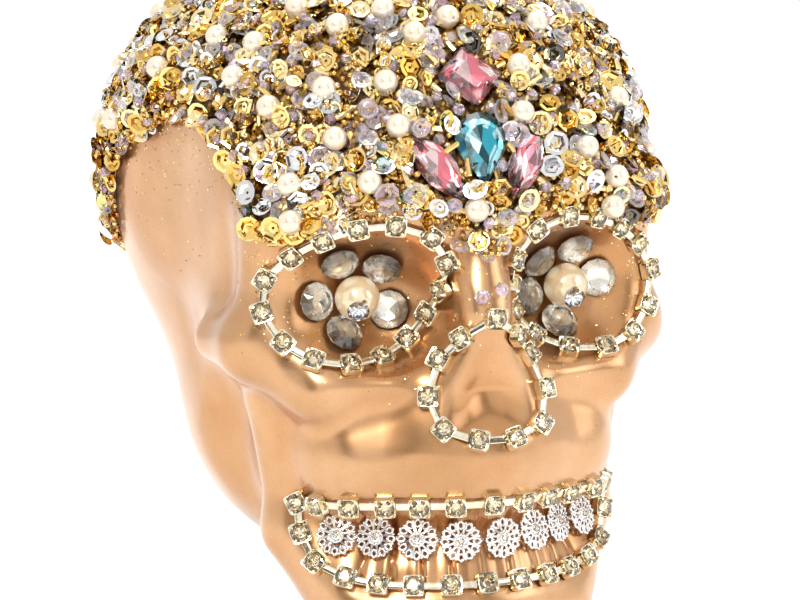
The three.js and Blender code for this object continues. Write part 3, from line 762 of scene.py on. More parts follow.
def cut_gem(outline, table_share, heights, centre=(0, 0), painted_shade_side=None):
    """A crystal with a girdle, two rows of facets up to a table, and a foiled back of two rows
    that meet in a point. Heights are those of the point, the two edges of the girdle, the middle
    row and the table. Faces are painted 0 for glass, 1 for the pale foil and 2 for the deep one,
    a darker copy that paints shade and dark reflections: the innermost facets by turns, or all
    those on the painted shade side deep and the others pale."""
    back, low, high, middle, top = heights
    outline, centre = np.array(outline), np.array(centre)
    n = len(outline)
    halfway = (outline + np.roll(outline, -1, 0)) / 2
    mid_share = (1 + table_share) / 2

    def ring(share, z, pts):
        return np.column_stack([(pts - centre) * share + centre, np.full(n, z)])

    points = np.vstack(
        [
            ring(1, low, outline),
            ring(1, high, outline),
            ring(mid_share, middle, halfway),
            ring(table_share, top, outline),
            ring(BACK_ROW_SHARE, back + BACK_ROW_RISE * (low - back), halfway),
            [[*centre, back]],
        ]
    )
    faces, paint = [], []
    for j in range(n):
        k = (j + 1) % n
        faces += [(j, k, n + k, n + j), (n + j, n + k, 2 * n + j)]
        faces += [(2 * n + j, n + k, 3 * n + k), (n + j, 2 * n + j, 3 * n + j)]
        faces += [(2 * n + j, 3 * n + k, 3 * n + j)]
        paint += [0] * 5
        before = 4 * n + (j - 1) % n
        faces += [(k, j, 4 * n + j), (j, before, 4 * n + j), (before, 5 * n, 4 * n + j)]
        if painted_shade_side is None:
            outer_deep, inner_deep = 1, j % 2
        else:
            facing = halfway[j - 1] + halfway[j] - 2 * centre
            outer_deep, inner_deep = j % 2, int(facing @ painted_shade_side > 0)
        paint += [1 + (j % 3 == 0), 1 + outer_deep, 1 + inner_deep]
    faces.append(tuple(3 * n + j for j in range(n)))
    return Form(points, faces, False, paint + [0])


print("a round stone has", len(cut_gem(polygon(5, 12), 0.5, (0, 1, 2, 3, 4)).faces), "facets")

# %% [markdown]
# The photographed crystals have three outlines: a drop, a leaf with two pointed ends, and a square
# with its corners cut. Each is a short list of points, and a facet stands on every side of it.
# Finer curves would look smoother, but pressed glass has few and broad facets.

# %% Crystal outlines
def drop_outline(half_wide=6.6, above=6.6, below=11.4):
    arc = np.radians(np.arange(-30, 211, 24))
    return [(half_wide * math.cos(a), above * math.sin(a)) for a in arc] + [(0, -below)]


def leaf_outline(half_wide=4.4, half_long=10.0):
    t = np.array([-1, -0.62, -0.22, 0.22, 0.62])
    right = [(half_wide * (1 - v * v), half_long * v) for v in t]
    return right + [(-x, -y) for x, y in right]


def square_outline(half=6.1, corner=1.0):
    near = half - corner
    quarter = [(half, -near), (half, near)]
    points = []
    for i in range(4):
        c, s = round(math.cos(math.pi * i / 2)), round(math.sin(math.pi * i / 2))
        points += [(c * x - s * y, s * x + c * y) for x, y in quarter]
    return points


print("corners:", len(drop_outline()), len(leaf_outline()), len(square_outline()))

# %% [markdown]
# The crystals are set where the picture shows them, by their height on the forehead and their
# distance from the middle. Thread holes are drilled through their edges: a dark dot would be
# quicker to paint, but a real hole bends the light round it. The outlines are kept, because no bead
# may lie on a crystal.

# %% The crystals on the forehead
HEIGHTS = (0.5, 1.2, 1.7, 2.9, 4.1)
TABLE_SHARE = 0.56
SEAT_RADIUS = 6.1
CLEAR_ABOVE = 12
LEAN = math.radians(36)
PINK = (pink_glass, pink_foils, "pink_crystal")
AQUA = (aqua_glass, aqua_foils, "aqua_crystal")
CRYSTALS = [
    ("square", square_outline(), 0, 146.5, math.pi / 4, (0, 0), *PINK),
    ("drop", drop_outline(), 0, 132.5, 0, (0, -1.0), *AQUA),
    ("leaf_left", leaf_outline(), -11, 126.5, LEAN, (0, 0), *PINK),
    ("leaf_right", leaf_outline(), 11, 126.5, -LEAN, (0, 0), *PINK),
]
THREAD_HOLES = {
    "square": [(0, -4.7), (-4.7, 0), (0, 4.7), (4.7, 0)],
    "drop": [(-4.4, 3.2), (4.4, 3.2), (-2.4, -6.0), (2.4, -6.0)],
    "leaf_left": [(0, 7.4), (0, -7.4)],
    "leaf_right": [(0, 7.4), (0, -7.4)],
}
thread_hole = turned([(0, -1), (0.5, -1), (0.5, 5), (0, 5)], 12, smooth=False)
gem_room = []
for name, outline, x, z, turn, centre, glass, backs, slot in CRYSTALS:
    origins, bases = seat_frames(front_seat(x, z), SEAT_RADIUS, turn)
    # The inner back facets on the right side get the deep foil: painted shade on that side.
    to_the_right = (math.cos(turn), -math.sin(turn))
    form = cut_gem(outline, TABLE_SHARE, HEIGHTS, centre, to_the_right)
    crystal = Pile().lay(form, origins, bases).mesh_object("cut_" + name, glass, *backs)
    glue(crystal, slot, "crystal_" + name)
    gem_room.append((origins[0], bases[0], np.array(outline)))
    places = [origins[0] + bases[0] @ np.array((x, y, 0)) for x, y in THREAD_HOLES[name]]
    cut_with(crystal, thread_hole, "DIFFERENCE", places, np.repeat(bases, len(places), 0))
    print(name, "crystal with", len(places), "thread holes:", len(crystal.data.polygons), "faces")


def clear_of_gems(places, margin):
    """True where a place is outside each crystal's outline, grown by the margin."""
    free = np.ones(len(places), bool)
    for origin, basis, outline in gem_room:
        local = (places - origin) @ basis
        n = len(outline)
        inside = np.ones(len(places), bool)
        for j in range(n):
            a, b = outline[j], outline[(j + 1) % n]
            edge = (b - a) / np.linalg.norm(b - a)
            away = (local[:, 0] - a[0]) * edge[1] - (local[:, 1] - a[1]) * edge[0]
            inside &= away < margin
        free &= ~(inside & (np.abs(local[:, 2]) < CLEAR_ABOVE))
    return free


# %% [markdown]
# The crust starts as a bed: a thick glued skin over the crown whose lower edge dips behind the head
# and rises over the bare temples. It is lumpy and dark amber, and it fills the chinks between the
# beads, so that no bare copper shows there. Under the crystals it is pressed flat, or it would show
# inside the clear glass, and it thins out over the last millimetres to the edge.

# %% Where the crust lies
CRUST_EDGE_DEGREES = [
    (0, -4), (5, -2), (9, 1), (15, 3), (26, 3), (34, 1), (40, -3), (45, -6), (48, -4), (53, 3),
    (58, 8), (63, 14), (74, 18), (85, 18), (95, 15), (107, 8), (113, 3), (119, -8), (130, -14),
    (150, -18), (180, -20),
]  # fmt: skip
BED = {"columns": 300, "rows": 72, "front_share": 0.6, "top_share": 0.995, "rows_to_edge": 3}
BED |= {"under": 0.35, "pressed": 0.4, "over": 1.5, "lump": 0.9, "lump_size": 2.6}
BED |= {"rows_within": 9, "round_gems": 1.0}


def degrees_from_front(turns):
    return np.degrees(np.abs(np.arctan2(np.sin(turns), np.cos(turns))))


def crust_edge(turns):
    rounds, ups = zip(*CRUST_EDGE_DEGREES)
    return np.radians(np.interp(degrees_from_front(turns), rounds, ups))


bed_turns = turns_round(BED["columns"], BED["front_share"])
bed_up = np.linspace(0, BED["top_share"], BED["rows"])[:, None]
bed_up = crust_edge(bed_turns) + (np.pi / 2 - crust_edge(bed_turns)) * bed_up
bed_ways = way_out(np.tile(bed_turns, (BED["rows"], 1)), bed_up)
bed_points = cast_in((0, 0, HIGH), bed_ways.reshape(-1, 3))
bed_skin = bed_points.reshape(bed_ways.shape)
bed_out = slope_at(bed_points).reshape(bed_ways.shape)
lumps = np.array([fractal(Vector(p / BED["lump_size"]), 1, 2, 3) for p in bed_points])
lumps = lumps.reshape(bed_skin.shape[:2])
print("crust bed:", bed_skin.shape[:2], "lumps up to", lumps.max().round(2))

# %% [markdown]
# The bed shows only as dark chinks, so its finish is rough and deep amber. Voronoi cells about as
# large as a seed bead give it the look of more beads further down: each cell is painted pale in its
# middle and nearly black towards its edges, painted light on beads that are not there and painted
# shade between them. Its dark colour stands for the glue and also for the shade in the chinks,
# painted shade. More layers of real beads would look the same and make the file far larger.

# %% Amber bed
amber_bed = Finish("amber_bead_bed", Metallic=0.75, Roughness=0.30, Coat_Weight=0.25)
# Each cell is painted pale in its middle and nearly black at its edges: painted light and painted
# shade between beads.
bead_relief_and_shade = amber_bed.cells(620)
amber_bed.set(
    "Base Color",
    amber_bed.mixed(
        amber_bed.noise(150, 4),
        amber_bed.ramp(bead_relief_and_shade, (0.12, (0.58, 0.29, 0.035)), (0.55, (0.035, 0.014, 0.003))),
        amber_bed.ramp(bead_relief_and_shade, (0.12, (0.72, 0.46, 0.14)), (0.55, (0.09, 0.038, 0.006))),
    ),
)
amber_bed.bump(bead_relief_and_shade, 0.0007, -1.0)

thinning = np.clip((np.arange(BED["rows"]) + 0.4) / BED["rows_to_edge"], 0, 1)[:, None]
bed_tall = BED["under"] + (BED["over"] - BED["under"] + BED["lump"] * lumps) * thinning
under_gems = ~clear_of_gems(bed_points, BED["round_gems"]).reshape(bed_tall.shape)
bed_tall[under_gems] = BED["pressed"]
rows_in = list(range(BED["rows"] - 1, -1, -BED["rows_within"]))
rings = [bed_skin[i] + BED["under"] * bed_out[i] for i in rows_in]
rings += [bed_skin[i] + bed_tall[i][:, None] * bed_out[i] for i in range(BED["rows"])]
bed = Pile().lay(loft(rings, smooth=True), (0, 0, 0)).mesh_object("crust_bed", amber_bed.material)
glue(bed, "bead_mix", "bead_crust")

# %% [markdown]
# Beads are strewn at random, but a person who glues them leaves no two in the same place. So a
# large number of places is drawn over the crust, evenly by area, and each place that is kept rules
# out its near neighbours. Pearls and crystals claim their room first.

# %% Places for the beads
PATCH_SIZE, PATCH_SHIFT = 9, np.array((7, 1, 3))
draw = np.random.default_rng(31)
next_column, next_row = np.roll(bed_skin, -1, 1)[:-1], bed_skin[1:]
cells_area = np.linalg.norm(
    np.cross(next_column - bed_skin[:-1], next_row - bed_skin[:-1]), axis=-1
)
print("crust area, cm2:", round(cells_area.sum() / 100))


def strewn(count):
    """Places and outward ways, evenly by area over the crust."""
    share = (cells_area / cells_area.sum()).ravel()
    cell = draw.choice(len(share), count, p=share)
    i, j = np.unravel_index(cell, cells_area.shape)
    u, v = draw.random((2, count, 1))
    k = (j + 1) % BED["columns"]

    def between(grid):
        low = grid[i, j] * (1 - u) + grid[i, k] * u
        high = grid[i + 1, j] * (1 - u) + grid[i + 1, k] * u
        return low * (1 - v) + high * v

    return between(bed_skin), unit(between(bed_out))


def kept_apart(places, gap, free):
    """Numbers of the free places that stay when none may be nearer to another than the gap."""
    tree = KDTree(len(places))
    for i, place in enumerate(places):
        tree.insert(place, i)
    tree.balance()
    blocked = ~free
    kept = []
    for i, place in enumerate(places):
        if blocked[i]:
            continue
        kept.append(i)
        for _, k, _ in tree.find_range(place, gap):
            blocked[k] = True
    return np.array(kept)

# %% [markdown]
# Not every place is free. The tests below say which places keep their distance from what is glued
# on already, and a slow noise says where one kind of bead gathers. Then each bead is lifted off the
# skin by a height of its own and tilted, as beads are that lie on other beads. Dropping them in a
# physics run is slow, and on a dome without glue they would roll off.

# %% Room, height and tilt
def patches(places):
    """A slow noise about zero that tells where one kind of bead gathers."""
    return np.array([fractal(Vector(p / PATCH_SIZE + PATCH_SHIFT), 1, 2, 2) for p in places])


def raised(places, out, low, more):
    """The places, each lifted off the skin by its own height."""
    return places + out * (low + more * draw.random((len(places), 1)))


def clear_of(places, claims, reach):
    """True where a place is further than the reach from all the claimed places."""
    claims = np.array(claims)
    apart = np.linalg.norm(places[:, None, :] - claims[None, :, :], axis=2)
    return apart.min(axis=1) > reach


def room_for(places, gaps):
    """True where a place keeps all the gaps named, from cups, pearls, crystals and main sequins."""
    free = clear_of(places, cup_places, gaps["from_cup"])
    free &= clear_of(places, pearl_places, gaps["from_pearl"])
    if "from_gem" in gaps:
        free &= clear_of_gems(places, gaps["from_gem"])
    if "from_main" in gaps:
        free &= clear_of(places, main_places, gaps["from_main"])
    return free


def tilted_frames(out, lean):
    """Bases whose Z leans away from `out` by up to that angle, turned any way round."""
    n = len(out)
    side = unit(np.cross(out, draw.normal(size=(n, 3))))
    tall = np.cross(out, side)
    a = lean * np.sqrt(draw.random((n, 1)))
    z = np.cos(a) * out + np.sin(a) * side
    x = np.cos(a) * side - np.sin(a) * out
    turn = draw.random((n, 1)) * 2 * np.pi
    c, s = np.cos(turn), np.sin(turn)
    return np.stack([c * x + s * tall, c * tall - s * x, z], 2)


print("patch noise at three places of the bed:", patches(bed_skin[0, :3]).round(2))

# %% [markdown]
# The pearls are 6 mm beads with a drilled hole. A pearl's lustre is a pale body under a clear,
# glossy coat with a warm tint. Those that the CAD knows stay where it has them. One more is seen
# low down, just over the eye, and the rest, over the back, are spread by the same hand.

# %% Pearl finish and form
def nacre(name, body):
    """A pale glossy body with a slow cloud in it and a clear coat that has a warm tint."""
    pearl = Finish(
        name,
        Metallic=0.28,
        Roughness=0.2,
        Subsurface_Weight=0.15,
        Subsurface_Scale=0.002,
        Coat_Weight=1.0,
        Coat_Roughness=0.04,
        Coat_IOR=1.55,
        Coat_Tint=(1.0, 0.93, 0.82, 1),
        Sheen_Weight=0.10,
        Sheen_Tint=(1.0, 0.88, 0.72, 1),
    )
    shade = tuple(0.95 * c for c in body)
    cloud = pearl.ramp(pearl.noise(420, 3), (0.35, shade), (0.65, body))
    warm, plain, warmest = (1, 0.97, 0.93), (1, 1, 1), (0.99, 0.94, 0.87)
    tone = pearl.ramp(pearl.island(), (0, warm), (0.5, plain), (1, warmest))
    pearl.set("Base Color", pearl.mixed(1, cloud, tone, "MULTIPLY"))
    pearl.bump(pearl.noise(700, 3), 0.00005, 0.3)
    return pearl.material


small_nacre = nacre("cream_pearl", (0.99, 0.95, 0.89))
large_nacre = nacre("golden_cream_pearl", (0.99, 0.90, 0.70))

PEARL_RADIUS, PEARL_HOLE = 3.0, 0.34


def drilled_ball(radius, hole, sides=22, rows=13):
    first = math.asin(hole / radius)
    arc = np.linspace(first, math.pi - first, rows)
    profile = [(radius * math.sin(a), -radius * math.cos(a)) for a in arc]
    return turned(profile, sides, loop=True)


PEARLS_SEEN_LOWER = [(31, -1)]
pearl_nodes = [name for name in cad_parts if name.startswith("pearl_")]
pearl_places = [np.array(sum(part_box(name), Vector())) / 2 / MM for name in pearl_nodes]
for turn, up in PEARLS_SEEN_LOWER:
    way = way_out(math.radians(turn), math.radians(up))
    pearl_places.append(cast_in((0, 0, HIGH), way, SEAT_CLEARANCE + PEARL_RADIUS)[0])
print(len(pearl_nodes), "pearls from the CAD,", len(PEARLS_SEEN_LOWER), "more seen")

# %% [markdown]
# Where the picture can't see, over the crown and the back, pearls keep about the same distance from
# each other as they do at the front.

# %% Pearls
UNSEEN = {"draws": 3000, "turned": 0.35, "round_degrees": 104, "up_degrees": 60, "from_edge": 0.08}
UNSEEN |= {"from_seen": 12, "apart": 13.5}
places, out = strewn(UNSEEN["draws"])
turns = np.arctan2(places[:, 0], -places[:, 1])
ups = np.arctan2(places[:, 2] - HIGH, np.hypot(places[:, 0], places[:, 1]))
unseen = np.abs(turns + UNSEEN["turned"]) > math.radians(UNSEEN["round_degrees"])
unseen |= ups > math.radians(UNSEEN["up_degrees"])
free = unseen & clear_of(places, pearl_places, UNSEEN["from_seen"])
free &= ups > crust_edge(turns) + UNSEEN["from_edge"]
chosen = kept_apart(places, UNSEEN["apart"], free)
pearl_places += list(places[chosen] + out[chosen] * (SEAT_CLEARANCE + PEARL_RADIUS))
print(len(chosen), "pearls added out of the picture's sight")
pearl_frames = tilted_frames(slope_at(pearl_places), math.pi / 2)
pearls = Pile().lay(drilled_ball(PEARL_RADIUS, PEARL_HOLE), pearl_places, pearl_frames)
glue(pearls.mesh_object("crust_pearls", small_nacre), "pearl", *pearl_nodes)

# %% [markdown]
# Sequins are stamped from foil: a flat middle with a hole for the thread, six steep facets round it
# and a shallow rim, so each shows a bright hexagon with a dark outline. Most are gold, some silver,
# some clear with a lilac sheen and a few nearly black. Each leans its own way, so that one mirrors
# the bright backdrop and the next one the dark of the room. That is what makes the crust glitter.

# %% Sequin forms
def cup_sequin(radius, hole=0.4, flat_share=0.46, shoulder_share=0.74, cup=0.8, thick=0.12):
    """A faceted cup with knife edges at its rim and hole. Its hollow looks along +Z."""
    flat, shoulder = flat_share * radius, shoulder_share * radius
    step = 0.8 * cup
    points = []
    for r, z, corners in (
        (hole, 0, 6),
        (flat, thick / 2, 6),
        (flat, -thick / 2, 6),
        (shoulder, step + thick / 2, 6),
        (shoulder, step - thick / 2, 6),
        (radius, cup, 12),
    ):
        points += [(x, y, z) for x, y in polygon(r, corners)]
    faces = []
    for j in range(6):
        k = (j + 1) % 6
        r = [30 + 2 * j, 30 + 2 * j + 1, 30 + (2 * j + 2) % 12]
        faces += [(j, 6 + j, 6 + k, k), (6 + j, 18 + j, 18 + k, 6 + k)]
        faces += [(18 + j, *r, 18 + k), (j, k, 12 + k, 12 + j)]
        faces += [(12 + j, 12 + k, 24 + k, 24 + j), (24 + j, 24 + k, *reversed(r))]
    return Form(points, faces, False)


def metal_foil(name, darkest, middle, palest, roughness, metallic=1.0, **more):
    """Foil whose tone goes from piece to piece, with fine scratches and dents."""
    metal = Finish(name, Metallic=metallic, **more)
    tone = metal.ramp(metal.island(), (0, darkest), (0.4, middle), (1, palest))
    stain = metal.ramp(metal.noise(500, 4), (0.35, (0.88, 0.86, 0.82)), (0.6, (1, 1, 1)))
    metal.set("Base Color", metal.mixed(1, tone, stain, "MULTIPLY"))
    metal.set("Roughness", metal.span(metal.noise(900, 2), roughness * 0.6, roughness * 1.5))
    metal.bump(metal.noise(1300, 3), 0.00003, 0.25)
    return metal.material


gold_foil = metal_foil(
    "gold_sequin_foil", (0.60, 0.35, 0.07), (0.92, 0.65, 0.22), (1.0, 0.87, 0.52), 0.07
)
silver_foil = metal_foil(
    "silver_sequin_foil", (0.55, 0.55, 0.56), (0.86, 0.86, 0.87), (0.98, 0.98, 0.98), 0.05
)
dark_foil = metal_foil(
    "black_sequin_foil", (0.03, 0.03, 0.03), (0.10, 0.09, 0.08), (0.30, 0.27, 0.22), 0.10
)
print("sequin foils:", gold_foil.name, silver_foil.name, dark_foil.name)

# %% [markdown]
# A rhinestone chain is bought by the metre: square metal cups, each with four claws bent over a cut
# stone, on short flat bars that pass through slots in the cups' sides. It is glued down along a
# closed line. The line is drawn as seen from the front, laid onto the skin, and the cups are set at
# even steps along it, each turned to follow it.

# %% Lines on the skull
def smooth_ring(corners, count):
    """A closed curve through the corners that keeps its bends tight where they lie close."""
    p, t = np.array(corners, float), np.arange(count + 1) / count * len(corners)
    i = np.floor(t).astype(int)
    w = (t - i)[:, None]
    p0, p1, p2, p3 = (p[(i + k) % len(p)] for k in (-1, 0, 1, 2))
    spans = ((p0, p1), (p1, p2), (p2, p3))
    d0, d1, d2 = (np.sqrt(np.linalg.norm(b - a, axis=1))[:, None] for a, b in spans)
    start = ((p1 - p0) / d0 - (p2 - p0) / (d0 + d1) + (p2 - p1) / d1) * d1
    end = ((p2 - p1) / d1 - (p3 - p1) / (d1 + d2) + (p3 - p2) / d2) * d1
    square, cube = 3 * (p2 - p1) - 2 * start - end, 2 * (p1 - p2) + start + end
    return p1 + start * w + square * w**2 + cube * w**3


def steps_along(points, lengths_for):
    """Places and headings along a line, at lengths that a function gives for its whole run."""
    run = np.concatenate([[0], np.cumsum(np.linalg.norm(np.diff(points, axis=0), axis=1))])
    lengths = lengths_for(run[-1])
    i = np.clip(np.searchsorted(run, lengths), 1, len(run) - 1)
    share = ((lengths - run[i - 1]) / (run[i] - run[i - 1]))[:, None]
    heading = points[i] - points[i - 1]
    return points[i - 1] + heading * share, unit(heading)


def evenly(count):
    return lambda run: run * np.arange(count) / count


def frames_along(places, headings, radius):
    _, bases = seat_frames(places, radius)
    turn = np.arctan2((headings * bases[:, :, 1]).sum(1), (headings * bases[:, :, 0]).sum(1))
    return seat_frames(places, radius, turn)


print("round a square:", smooth_ring([(1, 0), (0, 1), (-1, 0), (0, -1)], 4).round(1).tolist())

# %% [markdown]
# The corners of the four lines are read off the photograph, in millimetres to the right of the
# middle and above the table, and a smooth curve runs through them. A line traced closely would
# copy every small wobble too. The cups are counted as far as it shows them.

# %% The chains' lines
EYE_LINE = [
    (7.5, 104), (15, 112), (26, 113.5), (37, 110.5), (46, 104), (50.5, 95.5),
    (48.5, 87), (41, 80.5), (30, 78.5), (19.5, 80.5), (11.5, 87.5), (8, 96),
]  # fmt: skip
NOSE_LINE = [(0, 91.5), (6.5, 85.5), (11.5, 79), (14.5, 71.5), (12.5, 64.5), (5, 61.5)]
NOSE_LINE += [(-x, z) for x, z in reversed(NOSE_LINE[1:])]
MOUTH_LINE = [(0, 46.5), (12, 46), (24, 45.5), (34, 45), (40, 42.5), (39.5, 35.5), (36.5, 28.5)]
MOUTH_LINE += [(26, 24.5), (13, 24.5), (0, 24.5)]
MOUTH_LINE += [(-x, z) for x, z in reversed(MOUTH_LINE[1:-1])]
CHAINS = {
    "eye_chain_left": ([(-x, z) for x, z in EYE_LINE], 15),
    "eye_chain_right": (EYE_LINE, 14),
    "nose_chain": (NOSE_LINE, 11),
    "mouth_chain": (MOUTH_LINE, 26),
}
LINE_POINTS = 240
CUP = {"across": 5.1, "wall": 2.2, "corner": 0.8, "foot_corner": 0.75, "foot_in": 0.12}
CUP |= {"foot_up": 0.25, "well_top": 2.4, "well_low": 1.9, "well_floor": 0.9, "lip": 0.1}
CUP |= {"slot_inset": 0.34, "slot_deep": 0.55}
BAR_UP, BAR_IN_CUPS = 1.1, 1.6
TO_THE_FRONT = np.array((0, -0.5, 0.25))


def facing_front(origins, bases):
    """Rolls each basis about its own X. A stiff chain can't follow each slope and looks forward."""
    x = bases[:, :, 0]
    z = bases[:, :, 2] + TO_THE_FRONT
    z = unit(z - (z * x).sum(1, keepdims=True) * x)
    return origins, np.stack([x, np.cross(z, x), z], 2)


chain_frames = {}
for name, (corners, count) in CHAINS.items():
    seen_from_front = smooth_ring(corners, LINE_POINTS)
    on_skin = front_seat(seen_from_front[:, 0], seen_from_front[:, 1])
    seated = frames_along(*steps_along(on_skin, evenly(count)), CUP["across"] / 2)
    chain_frames[name] = facing_front(*seated)
    box_low, box_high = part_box(name)
    middle = chain_frames[name][0].mean(0)
    print(name, count, "cups round", middle.round(1), "CAD", ((box_low + box_high) / 2 / MM)[:])

# %% [markdown]
# The cup is a small square box with rounded corners and a round well for the stone. The bars enter
# through slots, which show as dark slits in the side walls. The claws are tapered strips that rise
# at the corners and lean over the stone's edge.

# %% Outlines and slots of a cup
def square_ring(half, corner, z, per_corner=3):
    """A square with rounded corners, its flat sides facing X and Y."""
    reach = math.sqrt(2) * (half - corner)
    points = []
    for i in range(4):
        quarter = math.pi * i / 2
        x, y = (reach * way(quarter + math.pi / 4) for way in (math.cos, math.sin))
        for a in np.linspace(0, math.pi / 2, per_corner) + quarter:
            points.append((x + corner * math.cos(a), y + corner * math.sin(a), z))
    return points


def round_ring(ring, radius, z):
    return [(radius * x / math.hypot(x, y), radius * y / math.hypot(x, y), z) for x, y, _ in ring]


def with_recess(form, face, inset, depth):
    """Presses one four-cornered face in, leaving a rim round it."""
    corners = form.points[list(form.faces[face])]
    middle = corners.mean(0)
    normal = np.cross(corners[1] - corners[0], corners[2] - corners[0])
    normal /= np.linalg.norm(normal)
    inner = middle + (corners - middle) * (1 - inset)
    n = len(form.points)
    points = np.vstack([form.points, inner, inner - normal * depth])
    old = form.faces[face]
    faces = form.faces[:face] + form.faces[face + 1 :]
    for j in range(4):
        k = (j + 1) % 4
        faces.append((old[j], old[k], n + k, n + j))
        faces.append((n + j, n + k, n + 4 + k, n + 4 + j))
    faces.append((n + 4, n + 5, n + 6, n + 7))
    return Form(points, faces)


print("a rounded square has", len(square_ring(1, 0.2, 0)), "corners")

# %% [markdown]
# The claws and the bar are lofts: a small outline is repeated along its way, and skin is laid over
# the repeats. A bent box would do for a claw, but with steps written out it can lean over more
# towards its tip and get narrower on the way.

# %% Claws and bar
CLAW_STEPS = [(0, 1.4, 0), (0, 2.3, 0), (0.2, 2.7, 0.4), (0.6, 2.95, 0.9), (0.95, 3.0, 1.2)]


def claw(turn, reach=2.85, wide=0.85, thick=0.3, taper=0.13):
    """A strip that rises at a corner and bends in over the stone. Its steps tell how far in they
    are, how high, and how far they lean."""
    c, s = math.cos(turn), math.sin(turn)
    rings = []
    for i, (inward, z, lean) in enumerate(CLAW_STEPS):
        r = reach - inward
        half = wide / 2 * (1 - taper * i)
        dr, dz = thick / 2 * math.cos(lean), thick / 2 * math.sin(lean)
        ring = [(r + dr, half, z + dz), (r + dr, -half, z + dz)]
        ring += [(r - dr, -half, z - dz), (r - dr, half, z - dz)]
        rings.append([(c * x - s * y, s * x + c * y, h) for x, y, h in ring])
    return loft(rings)


half_cup = CUP["across"] / 2
wall_low = square_ring(half_cup - CUP["foot_in"], CUP["foot_corner"], 0.0)
wall_mid = square_ring(half_cup, CUP["corner"], CUP["foot_up"])
wall_top = square_ring(half_cup, CUP["corner"], CUP["wall"])
well_top = round_ring(wall_top, CUP["well_top"], CUP["wall"] - CUP["lip"])
well_low = round_ring(wall_top, CUP["well_low"], CUP["well_floor"])
cup = loft([wall_low, wall_mid, wall_top, well_top, well_low])
for side_x in (half_cup, -half_cup):
    walls = [i for i, face in enumerate(cup.faces) if len(face) == 4]
    middles = [cup.points[list(cup.faces[i])].mean(0) for i in walls]
    target = np.array((side_x, 0, (CUP["foot_up"] + CUP["wall"]) / 2))
    nearest = walls[int(np.argmin([np.linalg.norm(middle - target) for middle in middles]))]
    cup = with_recess(cup, nearest, CUP["slot_inset"], CUP["slot_deep"])
for i in range(4):
    cup = cup + claw(math.pi / 4 + math.pi / 2 * i)
BAR_SECTION = [(0.95, 0.0), (0.8, 0.26), (0.3, 0.36), (-0.3, 0.36)]
BAR_SECTION += [(-0.8, 0.26), (-0.95, 0.0), (-0.7, -0.2), (0.7, -0.2)]
bar = loft([[(x, y, z) for x, z in BAR_SECTION] for y in (-0.5, 0.5)])
print("cup:", len(cup.faces), "faces, bar:", len(bar.faces))

# %% [markdown]
# The plating is pale gold, thin and a little worn, so silver shows through on the bars. The stones
# are clear glass with a champagne foil: cut with a table and two rows of facets. Some back facets
# carry an olive foil instead, a darker copy of the champagne one, as painted dark reflections.

# %% Plating and stones
plating = Finish("champagne_plating", Metallic=1.0)
wear = plating.ramp(
    plating.noise(700, 4),
    (0.38, (0.80, 0.70, 0.47)),
    (0.58, (0.90, 0.84, 0.68)),
    (0.75, (0.93, 0.91, 0.86)),
)
plating.set("Base Color", wear)
plating.set("Roughness", plating.span(plating.noise(1200, 2), 0.08, 0.24))
plating.bump(plating.noise(1500, 3), 0.00004, 0.35)
clear_glass = tinted_glass("clear_crystal_glass", (0.99, 0.92, 0.78))
# The olive foil is a darker copy of the champagne foil: painted dark reflections on some facets.
champagne_foils = (
    foil("champagne_foil", (1.0, 0.91, 0.73), 0.03),
    foil("olive_painted_shade_foil", (0.41, 0.31, 0.16), 0.03),
)

chaton = cut_gem(polygon(2.48, 10), table_share=0.46, heights=(0.6, 2.0, 2.2, 2.85, 3.3))
for name, (origins, bases) in chain_frames.items():
    metal = Pile().lay(cup, origins, bases)
    ends = origins + BAR_UP * bases[:, :, 2]
    following = np.roll(ends, -1, 0)
    long = np.linalg.norm(following - ends, axis=1, keepdims=True)
    y = unit(following - ends)
    x = unit(np.cross(y, bases[:, :, 2]))
    bar_bases = np.stack([x, y * (long - CUP["across"] + BAR_IN_CUPS), np.cross(x, y)], 2)
    metal.lay(bar, (ends + following) / 2, bar_bases)
    glue(metal.mesh_object(name + "_cups", plating.material), "rhinestone_chain", name)
    stones = Pile().lay(chaton, origins, bases)
    glue(stones.mesh_object(name + "_stones", clear_glass, *champagne_foils), "silver_crystal")

# %% [markdown]
# Each eye is a flower: five round grey stones, flat behind and faceted in front, about one large
# pearl that carries a little pointed crystal. The stones lie on the curved wall of the socket, so
# the upper ones look down and show their narrow side. On some back facets the smoke foil gives way
# to a darker copy, ash, and so do all inner ones towards the lower right: painted dark reflections
# and painted shade on that side. The pointed crystals get a darker steel copy of their silver foil
# on some back facets, as painted dark reflections.

# %% Eye flowers
smoke_glass = tinted_glass("smoke_crystal_glass", (0.975, 0.965, 0.94), 0.05)
# Ash and steel are darker copies of the smoke and silver foils: painted shade and painted dark
# reflections.
smoke_foils = (
    foil("smoke_foil", (0.99, 0.94, 0.86), 0.2),
    foil("ash_painted_shade_foil", (0.78, 0.73, 0.66), 0.14),
)
silver_glass = tinted_glass("silver_crystal_glass", (0.97, 0.98, 1.0))
silver_foils = (
    foil("silver_foil", (0.97, 0.98, 1.0), 0.04),
    foil("steel_painted_shade_foil", (0.45, 0.46, 0.50), 0.04),
)
EYE = {"x": 27, "z": 94.5, "spread": 10.1, "seat": 4.4, "pearl": 5.5, "hole": 0.6}
EYE |= {"point_off": 0.05}
EYE_DEGREES = {"left": [115, 48, -24, 250, 186], "right": [74, 4, 264, 196, 136]}
POINT_ASIDE_DEGREES = {"left": -16, "right": 0}
POINT_DOWN_DEGREES = 22
# The stones' inner back facets towards the lower right get the ash foil: painted shade on that
# side.
eye_stone = cut_gem(
    polygon(4.75, 12), table_share=0.58, heights=(0.05, 0.7, 1.0, 2.1, 2.95), painted_shade_side=(0.8, -0.6)
)
eye_point = cut_gem(polygon(2.7, 10), table_share=0.3, heights=(0.05, 0.5, 0.8, 1.8, 2.65))

